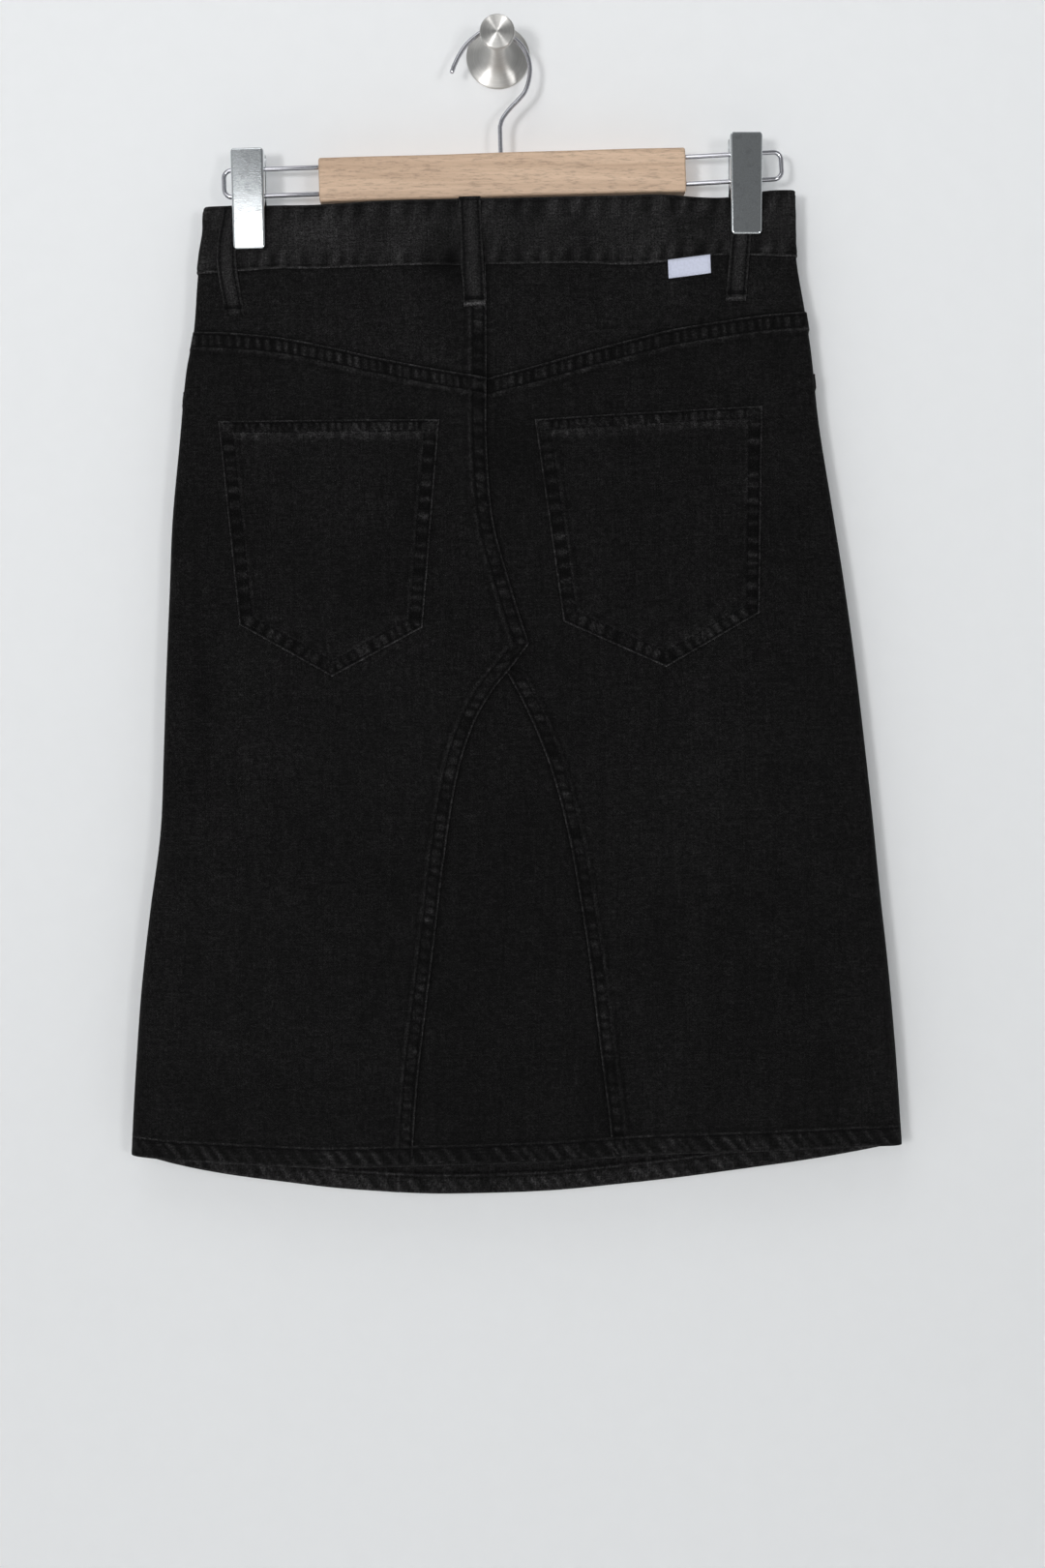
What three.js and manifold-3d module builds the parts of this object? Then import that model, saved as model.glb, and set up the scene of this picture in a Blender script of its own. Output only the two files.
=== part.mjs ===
// A washed black denim skirt, held by its waistband on a two-clip wooden hanger that hangs on a wall knob.
// The back of the skirt faces -Y and its front faces the wall, which is the plane y = 0. Millimetres, +Z up.
// The skirt and the hanger are drawn level in their own frame, then turned together about the hook's centre.
import * as THREE from "three";
import { mergeVertices } from "three/addons/utils/BufferGeometryUtils.js";
import Module from "manifold-3d";

const wasm = await Module();
wasm.setup();

// Driving sizes
const WALL_TO_HANGER = 26; // the hanger's middle plane stands this far off the wall
const TILT_DEGREES = 1.65; // the right-hand end of the hanger is the higher one
const SEAM_GAP = 0.3; // between neighbouring pieces
const DENIM = 1.3; // one layer of cloth with its nap
const WAISTBAND_THICK = 3.0;
const WAISTBAND_HEIGHT = 42;
const FRONT_DIP = 22; // the front of the waist sags this far between the clips
const FRONT_HEM_DROP = 26; // and the front of the hem hangs this much lower
const HEM_HEIGHT = 12.5;
const HEM_EXTRA_IN = 1.7; // the turned-up layers, on the inside
const HEM_EXTRA_OUT = 0.3;
const HOOK_RADIUS = 24.8; // to the middle of the wire
const WIRE_RADIUS = 1.5;
const WIRE_SIDES = 8;
const NECK_RADIUS = 6.2; // of the knob, where the hook's wire rests on it
const HOOK_ABOVE_WAIST = 83.2; // from the waist's level to the hook's centre
const STEM_X = 4.4; // the hook's stem stands this far right of its centre
const BAR = { left: -112.5, right: 122.5, bottom: 0.3, top: 28.6, depth: 13 };
// The wire runners: heights of their two wires above the waist at the outer end, where the loop turns at x = end.
const RUNNERS = [
  { name: "left", sign: -1, upper: 23.4, lower: 6.3, end: -175.5, leanDegrees: 0.4 },
  { name: "right", sign: 1, upper: 25.3, lower: 8, end: 185.7, leanDegrees: 1.5 },
];
const RUNNER_CORNER = 5;
const RUNNER_IN_BAR = 22; // length of wire inside the bar
// The clips: x of the middle, heights of top and foot above the waist, and widths there.
const CLIPS = [
  { name: "left", sign: -1, x: -157.7, top: 35.2, foot: -29.4, topWidth: 21.2, footWidth: 20.4, leanDegrees: -0.2 },
  { name: "right", sign: 1, x: 160.6, top: 36.2, foot: -29, topWidth: 20.8, footWidth: 19.6, leanDegrees: -1.5 },
];
const CLIP_SHEET = 1.2;
const CLIP_CORNER = 2.5;

// The flattened tube of the skirt, level by level. down: below the waist. left, right: its two side folds.
// fold: radius of the side folds. back, front: how far each face swells beyond the fold radius at its middle.
const SECTIONS = [
  { down: 0, left: -185, right: 191.5, fold: 2.2, back: 6.5, front: 5 },
  { down: 42, left: -191.5, right: 191.5, fold: 2.2, back: 8, front: 6 },
  { down: 80, left: -195.5, right: 196.5, fold: 3, back: 9, front: 7 },
  { down: 105, left: -201, right: 199.5, fold: 3.4, back: 9.5, front: 7.5 },
  { down: 150, left: -206.5, right: 203, fold: 4, back: 10, front: 8 },
  { down: 200, left: -212.5, right: 209.5, fold: 4.6, back: 10, front: 8.5 },
  { down: 250, left: -216, right: 216, fold: 5, back: 10.5, front: 9 },
  { down: 300, left: -219.5, right: 221.5, fold: 5.4, back: 11, front: 10 },
  { down: 350, left: -222.5, right: 226, fold: 5.8, back: 12, front: 11 },
  { down: 400, left: -226, right: 230, fold: 6, back: 13, front: 11.5 },
  { down: 450, left: -234, right: 233.5, fold: 6.4, back: 14, front: 12 },
  { down: 500, left: -241, right: 237.5, fold: 6.8, back: 15, front: 12.5 },
  { down: 550, left: -246, right: 240.5, fold: 7, back: 16, front: 12.5 },
  { down: 600, left: -250, right: 242.5, fold: 7.2, back: 17, front: 12.5 },
  { down: 660, left: -253, right: 244, fold: 7.2, back: 17, front: 12.5 },
];

// Soft flutes in the hanging cloth. They grow from the level "from" down to the hem. A rise below 0 is a trough.
const FLUTES = [
  { side: "back", x: -128, half: 40, rise: 3.2, from: 300 },
  { side: "back", x: -205, half: 24, rise: -2.2, from: 380 },
  { side: "back", x: 150, half: 38, rise: 2.8, from: 320 },
  { side: "back", x: 92, half: 26, rise: -2, from: 380 },
  { side: "front", x: -140, half: 42, rise: 3.5, from: 300 },
  { side: "front", x: -60, half: 28, rise: -2.5, from: 360 },
  { side: "front", x: 138, half: 40, rise: 3.2, from: 320 },
];

// Edges that run across the skirt, as the level below the waist at each x. The back of the waistband sags beside the
// right clip and bunches under it.
const WAIST_LINES = [
  { x: -196, top: 0.1, seam: 42.6 }, { x: -172, top: 0.1, seam: 42 }, { x: -140, top: 1, seam: 41.2 },
  { x: -115, top: 1.5, seam: 42.2 }, { x: -58, top: 0.6, seam: 42.3 }, { x: -15, top: 1.4, seam: 43.4 },
  { x: 50, top: 1.7, seam: 44.2 }, { x: 82, top: 1.8, seam: 45.8 }, { x: 108, top: 1.6, seam: 44.4 },
  { x: 132, top: 3.7, seam: 41 }, { x: 150, top: 3.9, seam: 40.6 }, { x: 176, top: 0.1, seam: 41.6 },
  { x: 198, top: 0.1, seam: 42.6 },
];
const YOKE_EDGE = [
  { x: -200, down: 80 }, { x: -176, down: 81.5 }, { x: -139, down: 86.5 }, { x: -105, down: 94.5 },
  { x: -79, down: 101.5 }, { x: -44, down: 109.5 }, { x: -7.5, down: 117 }, { x: 19, down: 111 },
  { x: 56, down: 101.5 }, { x: 79, down: 96 }, { x: 109, down: 89 }, { x: 138, down: 84.5 },
  { x: 168, down: 80.5 }, { x: 200, down: 78.5 },
];
const BACK_HEM = [
  { x: -256, down: 605.5 }, { x: -225, down: 609.5 }, { x: -199, down: 611.5 }, { x: -160, down: 613.3 },
  { x: -118, down: 615 }, { x: 10, down: 615 }, { x: 70, down: 613.3 }, { x: 150, down: 613 }, { x: 248, down: 613.8 },
];

// Seams that run down the skirt, as the x of their folded edge at each level.
const CENTRE_BACK = [
  { down: 42, x: -7.2 }, { down: 73, x: -7.4 }, { down: 116, x: -8.6 }, { down: 150, x: -9.7 },
  { down: 185, x: -9 }, { down: 212, x: -6.4 }, { down: 242, x: 0.8 }, { down: 269, x: 8.2 }, { down: 287, x: 13.6 },
];
const BACK_GUSSET_LEFT = [
  { down: 287, x: 13.6 }, { down: 301, x: 2.4 }, { down: 317, x: -11 }, { down: 338, x: -23.5 },
  { down: 370, x: -34.4 }, { down: 422, x: -44.2 }, { down: 478, x: -52.4 }, { down: 518, x: -58.5 },
  { down: 558, x: -64.4 }, { down: 604, x: -69 }, { down: 650, x: -72 },
];
const BACK_GUSSET_RIGHT = [
  { down: 305, x: -1.1 }, { down: 320, x: 6.5 }, { down: 338, x: 14.5 }, { down: 368, x: 25.2 },
  { down: 405, x: 34 }, { down: 451, x: 41.2 }, { down: 495, x: 46.4 }, { down: 541, x: 50.6 },
  { down: 591, x: 55.4 }, { down: 650, x: 60 },
];
const FRONT_GUSSET_TOP = 285;
const CENTRE_FRONT_X = 3;
const FRONT_GUSSET_LEFT = [
  { down: 285, x: 3 }, { down: 310, x: -13 }, { down: 340, x: -26 }, { down: 370, x: -36 },
  { down: 420, x: -48 }, { down: 480, x: -59 }, { down: 540, x: -68 }, { down: 600, x: -76 }, { down: 660, x: -82 },
];
const FRONT_GUSSET_RIGHT = [
  { down: 285, x: 3 }, { down: 310, x: 18 }, { down: 340, x: 29 }, { down: 370, x: 37 },
  { down: 420, x: 47 }, { down: 480, x: 56 }, { down: 540, x: 63 }, { down: 600, x: 69 }, { down: 660, x: 73 },
];
const CORNER_LEVEL = 287; // where the centre back seam turns into the gusset

// Corners are [x, down].
const BACK_POCKETS = [
  {
    name: "back_pocket_left",
    corners: {
      topLeft: [-181, 138.5], topRight: [-39.4, 142.6], bottomLeft: [-170.8, 269.3], bottomRight: [-53.8, 274.8],
      tip: [-112.2, 304.2],
    },
  },
  {
    name: "back_pocket_right",
    corners: {
      topLeft: [21.2, 144.4], topRight: [166.9, 138.7], bottomLeft: [35.7, 273.6], bottomRight: [160.8, 271.2],
      tip: [100.2, 304.3],
    },
  },
];
const LOOP = { thick: 1.8, top: 1.6, length: 69.5 };
// The x of each loop's middle at its top, its middle and its foot.
const BELT_LOOPS = [
  { name: "belt_loop_back_left", side: "back", width: 12.6, top: -167.5, middle: -172.3, foot: -168.6 },
  { name: "belt_loop_back_centre", side: "back", width: 14, top: -16.2, middle: -15.6, foot: -14.8 },
  { name: "belt_loop_back_right", side: "back", width: 13, top: 159.5, middle: 156, foot: 152 },
  { name: "belt_loop_front_left", side: "front", width: 13, top: -84, middle: -84, foot: -84 },
  { name: "belt_loop_front_right", side: "front", width: 13, top: 88, middle: 88, foot: 88 },
];
const TAB = {
  thick: 0.8,
  corners: { topLeft: [109, 43.9], topRight: [136.3, 40.6], bottomLeft: [109.2, 56.7], bottomRight: [136.3, 53.8] },
};
const FRONT_POCKET = { from: 80, sideLevel: 118, round: 0.7 };
const BUTTON = { radius: 8.5, thick: 3.2, x: -11 };
const UNDERLAP = 35;
const ZIP = { left: -10, right: 16, top: 69, bottom: 200, thick: 1.2 };
const FLY_SHIELD = { left: -18, right: 20, top: 68, bottom: 206 };

const MEET_ROUNDS = 12;
const SEAM_INSET = SEAM_GAP * 0.6; // a slanting seam needs a little more than half a gap on each side
const WAIST_FRONT_TURNS = [2.9, 2.6, 2.3]; // columns of the waistband round a side fold
const WAIST_BACK_TURNS = [1.7, 1.35];
const BULGE_POWER = 1.3;
const LOWEST_LEVEL = 640;

const clamp01 = (t) => Math.min(1, Math.max(0, t));
const smoothStep = (t) => clamp01(t) ** 2 * (3 - 2 * clamp01(t));
const lerp = (a, b, t) => a + (b - a) * t;
const spaced = (from, to, count) => Array.from({ length: count + 1 }, (_, i) => lerp(from, to, i / count));

// A smooth curve through a table's rows: the value of column "y" where column "x" is at.
function smooth(rows, x, y, at) {
  const last = rows.length - 1;
  let i = 0;
  while (i < last - 1 && at > rows[i + 1][x]) i += 1;
  const slope = (k) => {
    const a = rows[Math.max(0, k - 1)];
    const b = rows[Math.min(last, k + 1)];
    return (b[y] - a[y]) / (b[x] - a[x]);
  };
  const width = rows[i + 1][x] - rows[i][x];
  const t = clamp01((at - rows[i][x]) / width);
  const rest = 1 - t;
  return (
    rows[i][y] * (1 + 2 * t) * rest * rest +
    rows[i + 1][y] * t * t * (3 - 2 * t) +
    slope(i) * width * t * rest * rest -
    slope(i + 1) * width * t * t * rest
  );
}

function section(down) {
  const at = (column) => smooth(SECTIONS, "down", column, down);
  const left = at("left");
  const right = at("right");
  return { middle: (left + right) / 2, half: (right - left) / 2, fold: at("fold"), back: at("back"), front: at("front") };
}

// How far the cloth stands out at x, beyond its folds, on one side.
function swell(side, x, down) {
  const s = section(down);
  const share = (x - s.middle) / s.half;
  const bulge = s[side] * Math.max(0, 1 - share * share) ** BULGE_POWER;
  const flutes = FLUTES.filter((f) => f.side === side).reduce((sum, f) => {
    const grown = smoothStep((down - f.from) / (LOWEST_LEVEL - f.from));
    return sum + f.rise * grown * Math.exp(-(((x - f.x) / f.half) ** 2));
  }, 0);
  return bulge + flutes;
}

// The x of a point that lies "along" its face, which runs from -2 at the left side fold to 2 at the right one.
// The face is flat from -1 to 1 and bends round the folds beyond that.
function xAlong(along, down) {
  const s = section(down);
  const bend = Math.max(0, Math.abs(along) - 1) * (Math.PI / 2);
  const flat = Math.max(-1, Math.min(1, along)) * (s.half - s.fold);
  return s.middle + flat + Math.sign(along) * s.fold * Math.sin(bend);
}

function alongAt(x, down) {
  const s = section(down);
  return (x - s.middle) / (s.half - s.fold);
}

// A point of the cloth's middle surface. turn runs round the tube: 0 is the middle of the back, -2 and 2 are the side
// folds, and -4 and 4 both are the middle of the front.
function clothPoint(turn, down) {
  const isBack = Math.abs(turn) <= 2;
  const along = isBack ? turn : Math.sign(turn) * 4 - turn;
  const bend = Math.max(0, Math.abs(along) - 1) * (Math.PI / 2);
  const x = xAlong(along, down);
  const out = section(down).fold * Math.cos(bend) + swell(isBack ? "back" : "front", x, down);
  return new THREE.Vector3(x, isBack ? -out : out, -down);
}

// The same, moved out along the cloth's normal.
function liftedPoint(turn, down, lift) {
  const step = 0.01;
  const across = clothPoint(turn + step, down).sub(clothPoint(turn - step, down));
  const along = clothPoint(turn, down + 1).sub(clothPoint(turn, down - 1));
  return clothPoint(turn, down).addScaledVector(along.cross(across).normalize(), lift);
}

function turnOf(side, along) {
  if (side === "back") return along;
  return along >= 0 ? 4 - along : -4 - along;
}
const turnAt = (side, x, down) => turnOf(side, alongAt(x, down));

// Levels of the edges that run across
const yokeEdge = (x) => smooth(YOKE_EDGE, "x", "down", x);
const backHem = (x) => smooth(BACK_HEM, "x", "down", x);
const shareAcross = (x, down) => Math.abs(x - section(down).middle) / section(down).half;
const sag = (x, down, power) => Math.max(0, 1 - shareAcross(x, down) ** 2) ** power;
const frontTopEdge = (x) => WAIST_LINES[0].top + FRONT_DIP * sag(x, 0, 1.5);
const waistTop = (side, x) => (side === "front" ? frontTopEdge(x) : smooth(WAIST_LINES, "x", "top", x));
const waistSeam = (side, x) =>
  side === "front" ? frontTopEdge(x) + WAISTBAND_HEIGHT + 0.5 : smooth(WAIST_LINES, "x", "seam", x);
const frontHem = (x) => backHem(x) + FRONT_HEM_DROP * sag(x, 600, 1);
// The front pocket's mouth, a scoop from the waistband to the side seam.
function frontTop(x) {
  const s = section(FRONT_POCKET.sideLevel);
  const share = clamp01((Math.abs(x - s.middle) - FRONT_POCKET.from) / (s.half - FRONT_POCKET.from));
  return lerp(waistSeam("front", x), FRONT_POCKET.sideLevel, (1 - (1 - share) ** 2) ** FRONT_POCKET.round);
}

// A closed wall from a grid of points: each has its turn, level, and how far its two faces lie out and in.
function wallGeometry(grid) {
  const rows = grid.length;
  const columns = grid[0].length;
  const positions = [];
  for (const face of ["out", "in"]) {
    grid.forEach((row) => row.forEach((p) => positions.push(...liftedPoint(p.turn, p.down, p[face]).toArray())));
  }
  const at = (face, i, j) => face * rows * columns + i * columns + j;
  const index = [];
  const quad = (a, b, c, d) => index.push(a, b, c, a, c, d);
  for (let i = 0; i < rows - 1; i += 1) {
    for (let j = 0; j < columns - 1; j += 1) {
      quad(at(0, i, j), at(0, i + 1, j), at(0, i + 1, j + 1), at(0, i, j + 1));
      quad(at(1, i, j), at(1, i, j + 1), at(1, i + 1, j + 1), at(1, i + 1, j));
    }
    quad(at(0, i, 0), at(1, i, 0), at(1, i + 1, 0), at(0, i + 1, 0));
    quad(at(0, i, columns - 1), at(0, i + 1, columns - 1), at(1, i + 1, columns - 1), at(1, i, columns - 1));
  }
  for (let j = 0; j < columns - 1; j += 1) {
    quad(at(0, 0, j), at(0, 0, j + 1), at(1, 0, j + 1), at(1, 0, j));
    quad(at(0, rows - 1, j), at(1, rows - 1, j), at(1, rows - 1, j + 1), at(0, rows - 1, j + 1));
  }
  const geometry = new THREE.BufferGeometry();
  geometry.setAttribute("position", new THREE.Float32BufferAttribute(positions, 3));
  geometry.setIndex(index);
  return geometry;
}

// The place where a row of a piece crosses an upright edge, found by going back and forth between the two.
function meet(rowAt, row, xAt) {
  let down = rowAt(0, row);
  for (let k = 0; k < MEET_ROUNDS; k += 1) down = rowAt(xAt(down), row);
  return { x: xAt(down), down };
}

// A cut piece of one face of the skirt. rowAt(x, row) is the level of a row at x. leftEdge and rightEdge give the x
// of an edge at a level, and are left out at a side fold. columns(from, to) lists the places along each row, and
// faces(row) gives how far the two faces lie out and in from the cloth's middle surface.
function piece({ side, rowAt, rows, leftEdge, rightEdge, columns, faces }) {
  const end = (edge, sign, row) => {
    if (!edge) return sign * 2;
    const { x, down } = meet(rowAt, row, (level) => edge(level) - sign * SEAM_INSET);
    return alongAt(x, down);
  };
  return rows.map((row) => {
    const points = columns(end(leftEdge, -1, row), end(rightEdge, 1, row)).map((along) => {
      const { down } = meet(rowAt, row, (level) => xAlong(along, level));
      const short = SEAM_INSET / section(down).fold / (Math.PI / 2);
      const kept = Math.max(-2 + short, Math.min(2 - short, along));
      return { turn: turnOf(side, kept), down, ...faces(row) };
    });
    return side === "front" ? points.reverse() : points;
  });
}

const FOLD_COLUMNS = [2, 1.67, 1.34];
// Evenly spaced columns, with three more round a side fold.
const evenColumns = (count) => (from, to) => [
  ...(from === -2 ? FOLD_COLUMNS.map((along) => -along) : []),
  ...spaced(Math.max(-1, from), Math.min(1, to), count),
  ...(to === 2 ? FOLD_COLUMNS.toReversed() : []),
];

const plainFaces = () => ({ out: DENIM / 2, in: -DENIM / 2 });
const hemFaces = (row) => {
  const isHem = row > HEM_ROW;
  return { out: DENIM / 2 + (isHem ? HEM_EXTRA_OUT : 0), in: -DENIM / 2 - (isHem ? HEM_EXTRA_IN : 0) };
};

// Rows from 0 to 1, shared by the pieces of a face, so that their seams meet point for point.
const backRow = (x, row) => lerp(yokeEdge(x) + SEAM_GAP / 2, backHem(x), row);
const frontRow = (x, row) => lerp(frontTop(x) + SEAM_GAP / 2, frontHem(x), row);
const rowOf = (rowAt, x, down) => (down - rowAt(x, 0)) / (rowAt(x, 1) - rowAt(x, 0));
const HEM_ROW = 1 - HEM_HEIGHT / 505; // the panels are about 505 mm long
const HEM_STEP = 0.0008;
const APEX_STEP = 0.008; // a gusset starts this far under the point where its seams meet, with some width
const BEND = 0.1; // its seams bend most in this share of the rows
const rowsFrom = (apexRow) => [
  ...spaced(apexRow + APEX_STEP, apexRow + BEND, 4),
  ...spaced(apexRow + BEND, HEM_ROW, 8).slice(1),
  HEM_ROW + HEM_STEP,
  1,
];
const CORNER_ROW = rowOf(backRow, CENTRE_BACK.at(-1).x, CORNER_LEVEL);
const BACK_APEX_ROW = rowOf(backRow, BACK_GUSSET_RIGHT[0].x, BACK_GUSSET_RIGHT[0].down);
const FRONT_APEX_ROW = rowOf(frontRow, CENTRE_FRONT_X, FRONT_GUSSET_TOP);
const BACK_ROWS = [...spaced(0, CORNER_ROW, 7), BACK_APEX_ROW, ...rowsFrom(BACK_APEX_ROW)];
const FRONT_ROWS = [...spaced(0, FRONT_APEX_ROW, 7), ...rowsFrom(FRONT_APEX_ROW)];

const seamX = (rows) => (down) => smooth(rows, "down", "x", Math.max(down, rows[0].down));
const centreBack = seamX(CENTRE_BACK);
const backGussetLeft = seamX(BACK_GUSSET_LEFT);
const backGussetRight = seamX(BACK_GUSSET_RIGHT);
const frontGussetLeft = seamX(FRONT_GUSSET_LEFT);
const frontGussetRight = seamX(FRONT_GUSSET_RIGHT);
// The left back panel laps over the right one as far as the gusset's point.
const leftPanelEdge = (down) => (down < CORNER_LEVEL ? centreBack(down) : backGussetLeft(down));
const rightPanelEdge = (down) => (down < BACK_GUSSET_RIGHT[0].down ? leftPanelEdge(down) : backGussetRight(down));

function backPieces() {
  const yokeRow = (x, t) => lerp(waistSeam("back", x) + SEAM_GAP, yokeEdge(x) - SEAM_GAP / 2, t);
  const columns = evenColumns(10);
  const yoke = { side: "back", rowAt: yokeRow, rows: spaced(0, 1, 3), columns, faces: plainFaces };
  const panel = { side: "back", rowAt: backRow, rows: BACK_ROWS, columns, faces: hemFaces };
  return {
    back_yoke_left: piece({ ...yoke, rightEdge: centreBack }),
    back_yoke_right: piece({ ...yoke, leftEdge: centreBack }),
    back_panel_left: piece({ ...panel, rightEdge: leftPanelEdge }),
    back_panel_right: piece({ ...panel, leftEdge: rightPanelEdge }),
    back_gusset: piece({
      ...panel, rows: rowsFrom(BACK_APEX_ROW), leftEdge: backGussetLeft, rightEdge: backGussetRight,
      columns: evenColumns(5),
    }),
  };
}

function frontPieces() {
  const s = section(FRONT_POCKET.sideLevel);
  const start = FRONT_POCKET.from / (s.half - s.fold);
  const mouth = [...FOLD_COLUMNS, ...[1, 0.75, 0.5, 0.3, 0.15, 0.05, 0.01].map((t) => lerp(start, 1, t))];
  const panelColumns = (from, to) => {
    if (to === 2) return [...spaced(from, start, 3).slice(0, -1), ...mouth.toReversed()];
    return [...mouth.map((along) => -along), ...spaced(-start, to, 3).slice(1)];
  };
  // The facing leaves off where the mouth's scoop has just left the waistband.
  const under = mouth.slice(0, -1);
  const facingColumns = (from) => (from === -2 ? under.map((along) => -along) : under.toReversed());
  const facingRow = (x, t) => lerp(waistSeam("front", x) + SEAM_GAP / 2, frontTop(x) - SEAM_GAP / 2, t);
  const panel = { side: "front", rowAt: frontRow, rows: FRONT_ROWS, columns: panelColumns, faces: hemFaces };
  const facing = {
    side: "front", rowAt: facingRow, rows: spaced(0, 1, 3), columns: facingColumns, faces: plainFaces,
  };
  const innerEdge = (sign) => () => s.middle + sign * FRONT_POCKET.from;
  return {
    front_panel_left: piece({ ...panel, rightEdge: frontGussetLeft }),
    front_panel_right: piece({ ...panel, leftEdge: frontGussetRight }),
    front_gusset: piece({
      ...panel, rows: rowsFrom(FRONT_APEX_ROW), leftEdge: frontGussetLeft, rightEdge: frontGussetRight,
      columns: evenColumns(5),
    }),
    front_pocket_facing_left: piece({ ...facing, rightEdge: innerEdge(-1) }),
    front_pocket_facing_right: piece({ ...facing, leftEdge: innerEdge(1) }),
  };
}

// The waistband starts at its under end inside the centre front, runs round the back, and ends on top. It is parted at
// the two side folds, because one closed ring would leave no way through it in collision.
function waistbandPieces() {
  const inward = WAISTBAND_THICK + SEAM_GAP;
  const tuck = (x) => inward * (1 - smoothStep((x - CENTRE_FRONT_X - 2) / 12));
  const at = (side, x, deep = 0) => {
    const level = (v) => lerp(waistTop(side, x), waistSeam(side, x) - SEAM_GAP, v);
    return (v) => ({ turn: turnAt(side, x, level(v)), down: level(v), deep });
  };
  const atFold = (turn) => (v) => {
    const side = Math.abs(turn) > 2 ? "front" : "back";
    const { x } = clothPoint(turn, WAISTBAND_HEIGHT / 2);
    return { turn, down: lerp(waistTop(side, x), waistSeam(side, x) - SEAM_GAP, v), deep: 0 };
  };
  const short = SEAM_INSET / section(WAISTBAND_HEIGHT / 2).fold / (Math.PI / 2);
  const frontFold = [...WAIST_FRONT_TURNS, 2 + short];
  const backFold = [2 - short, ...WAIST_BACK_TURNS];
  const underEnd = [...spaced(CENTRE_FRONT_X - UNDERLAP, CENTRE_FRONT_X + 2, 3), CENTRE_FRONT_X + 8, CENTRE_FRONT_X + 14];
  const strip = (stations) =>
    [0, 0.5, 1].map((v) =>
      stations.toReversed().map((station) => {
        const { turn, down, deep } = station(v);
        return { turn, down, out: WAISTBAND_THICK / 2 - deep, in: -WAISTBAND_THICK / 2 - deep };
      }),
    );
  return {
    waistband_front_right: strip([
      ...underEnd.map((x) => at("front", x, tuck(x))),
      ...spaced(36, 170, 7).map((x) => at("front", x)),
      ...frontFold.map((turn) => atFold(turn)),
    ]),
    waistband_back: strip([
      ...backFold.map((turn) => atFold(turn)),
      ...spaced(176, -176, 20).map((x) => at("back", x)),
      ...backFold.toReversed().map((turn) => atFold(-turn)),
    ]),
    waistband_front_left: strip([
      ...frontFold.toReversed().map((turn) => atFold(-turn)),
      ...spaced(-170, CENTRE_FRONT_X, 9).map((x) => at("front", x)),
    ]),
  };
}

// A patch that lies on the cloth, with straight edges between its corners [x, down]. It may come to a tip at its foot.
// lift is the height of its inner face.
function patch({ side, corners, lift, thick, across, rows }) {
  const { topLeft, topRight, bottomLeft, bottomRight, tip } = corners;
  const tipShare = tip ? (tip[0] - bottomLeft[0]) / (bottomRight[0] - bottomLeft[0]) : 1;
  const between = (a, b, t) => [lerp(a[0], b[0], t), lerp(a[1], b[1], t)];
  const foot = (u) => {
    if (!tip) return between(bottomLeft, bottomRight, u);
    return u <= tipShare
      ? between(bottomLeft, tip, u / tipShare)
      : between(tip, bottomRight, (u - tipShare) / (1 - tipShare));
  };
  const columns = tip ? [...spaced(0, tipShare, across), ...spaced(tipShare, 1, across).slice(1)] : spaced(0, 1, across);
  return spaced(0, 1, rows).map((v) => {
    const points = columns.map((u) => {
      const [x, down] = between(between(topLeft, topRight, u), foot(u), v);
      return { turn: turnAt(side, x, down), down, out: lift + thick, in: lift };
    });
    return side === "front" ? points.reverse() : points;
  });
}

const rectangle = ({ left, right, top, bottom }) => ({
  topLeft: [left, top], topRight: [right, top], bottomLeft: [left, bottom], bottomRight: [right, bottom],
});

// A belt loop, from the waistband's top edge to its foot below the waist seam, where it steps down on to the cloth.
function beltLoop({ side, width, top, middle, foot }) {
  const path = [{ v: 0, x: top }, { v: 0.45, x: middle }, { v: 1, x: foot }];
  const onBand = WAISTBAND_THICK / 2 + SEAM_GAP;
  const onCloth = DENIM / 2 + SEAM_GAP;
  const seam = (WAISTBAND_HEIGHT + 2) / LOOP.length;
  return [0, 0.12, 0.25, 0.4, 0.52, seam, seam + 0.14, 0.88, 1].map((v) => {
    const lift = lerp(onBand, onCloth, smoothStep((v - seam) / 0.16));
    const points = [-0.5, 0, 0.5].map((share) => {
      const x = smooth(path, "v", "x", v) + share * width;
      const down = LOOP.top + (side === "front" ? frontTopEdge(x) : 0) + v * LOOP.length;
      return { turn: turnAt(side, x, down), down, out: lift + LOOP.thick, in: lift };
    });
    return side === "front" ? points.reverse() : points;
  });
}

function smallPieces() {
  const onCloth = DENIM / 2 + SEAM_GAP;
  const pieces = {};
  for (const { name, corners } of BACK_POCKETS) {
    pieces[name] = patch({ side: "back", corners, lift: onCloth, thick: DENIM, across: 4, rows: 6 });
  }
  for (const loop of BELT_LOOPS) pieces[loop.name] = beltLoop(loop);
  pieces.side_tab = patch({
    side: "back", corners: TAB.corners, lift: WAISTBAND_THICK / 2 + SEAM_GAP, thick: TAB.thick, across: 2, rows: 1,
  });
  const zipLift = -onCloth - ZIP.thick;
  pieces.fly_zip = patch({ side: "front", corners: rectangle(ZIP), lift: zipLift, thick: ZIP.thick, across: 2, rows: 5 });
  pieces.fly_shield = patch({
    side: "front", corners: rectangle(FLY_SHIELD), lift: zipLift - SEAM_GAP - DENIM, thick: DENIM, across: 3, rows: 5,
  });
  return pieces;
}

// Solids made by cutting one shape with another
function solidOf(geometry) {
  const bare = geometry.index ? geometry.toNonIndexed() : geometry.clone();
  bare.deleteAttribute("normal");
  bare.deleteAttribute("uv");
  const merged = mergeVertices(bare, 1e-3);
  const mesh = new wasm.Mesh({
    numProp: 3,
    vertProperties: merged.attributes.position.array,
    triVerts: new Uint32Array(merged.index.array),
  });
  return new wasm.Manifold(mesh);
}

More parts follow.
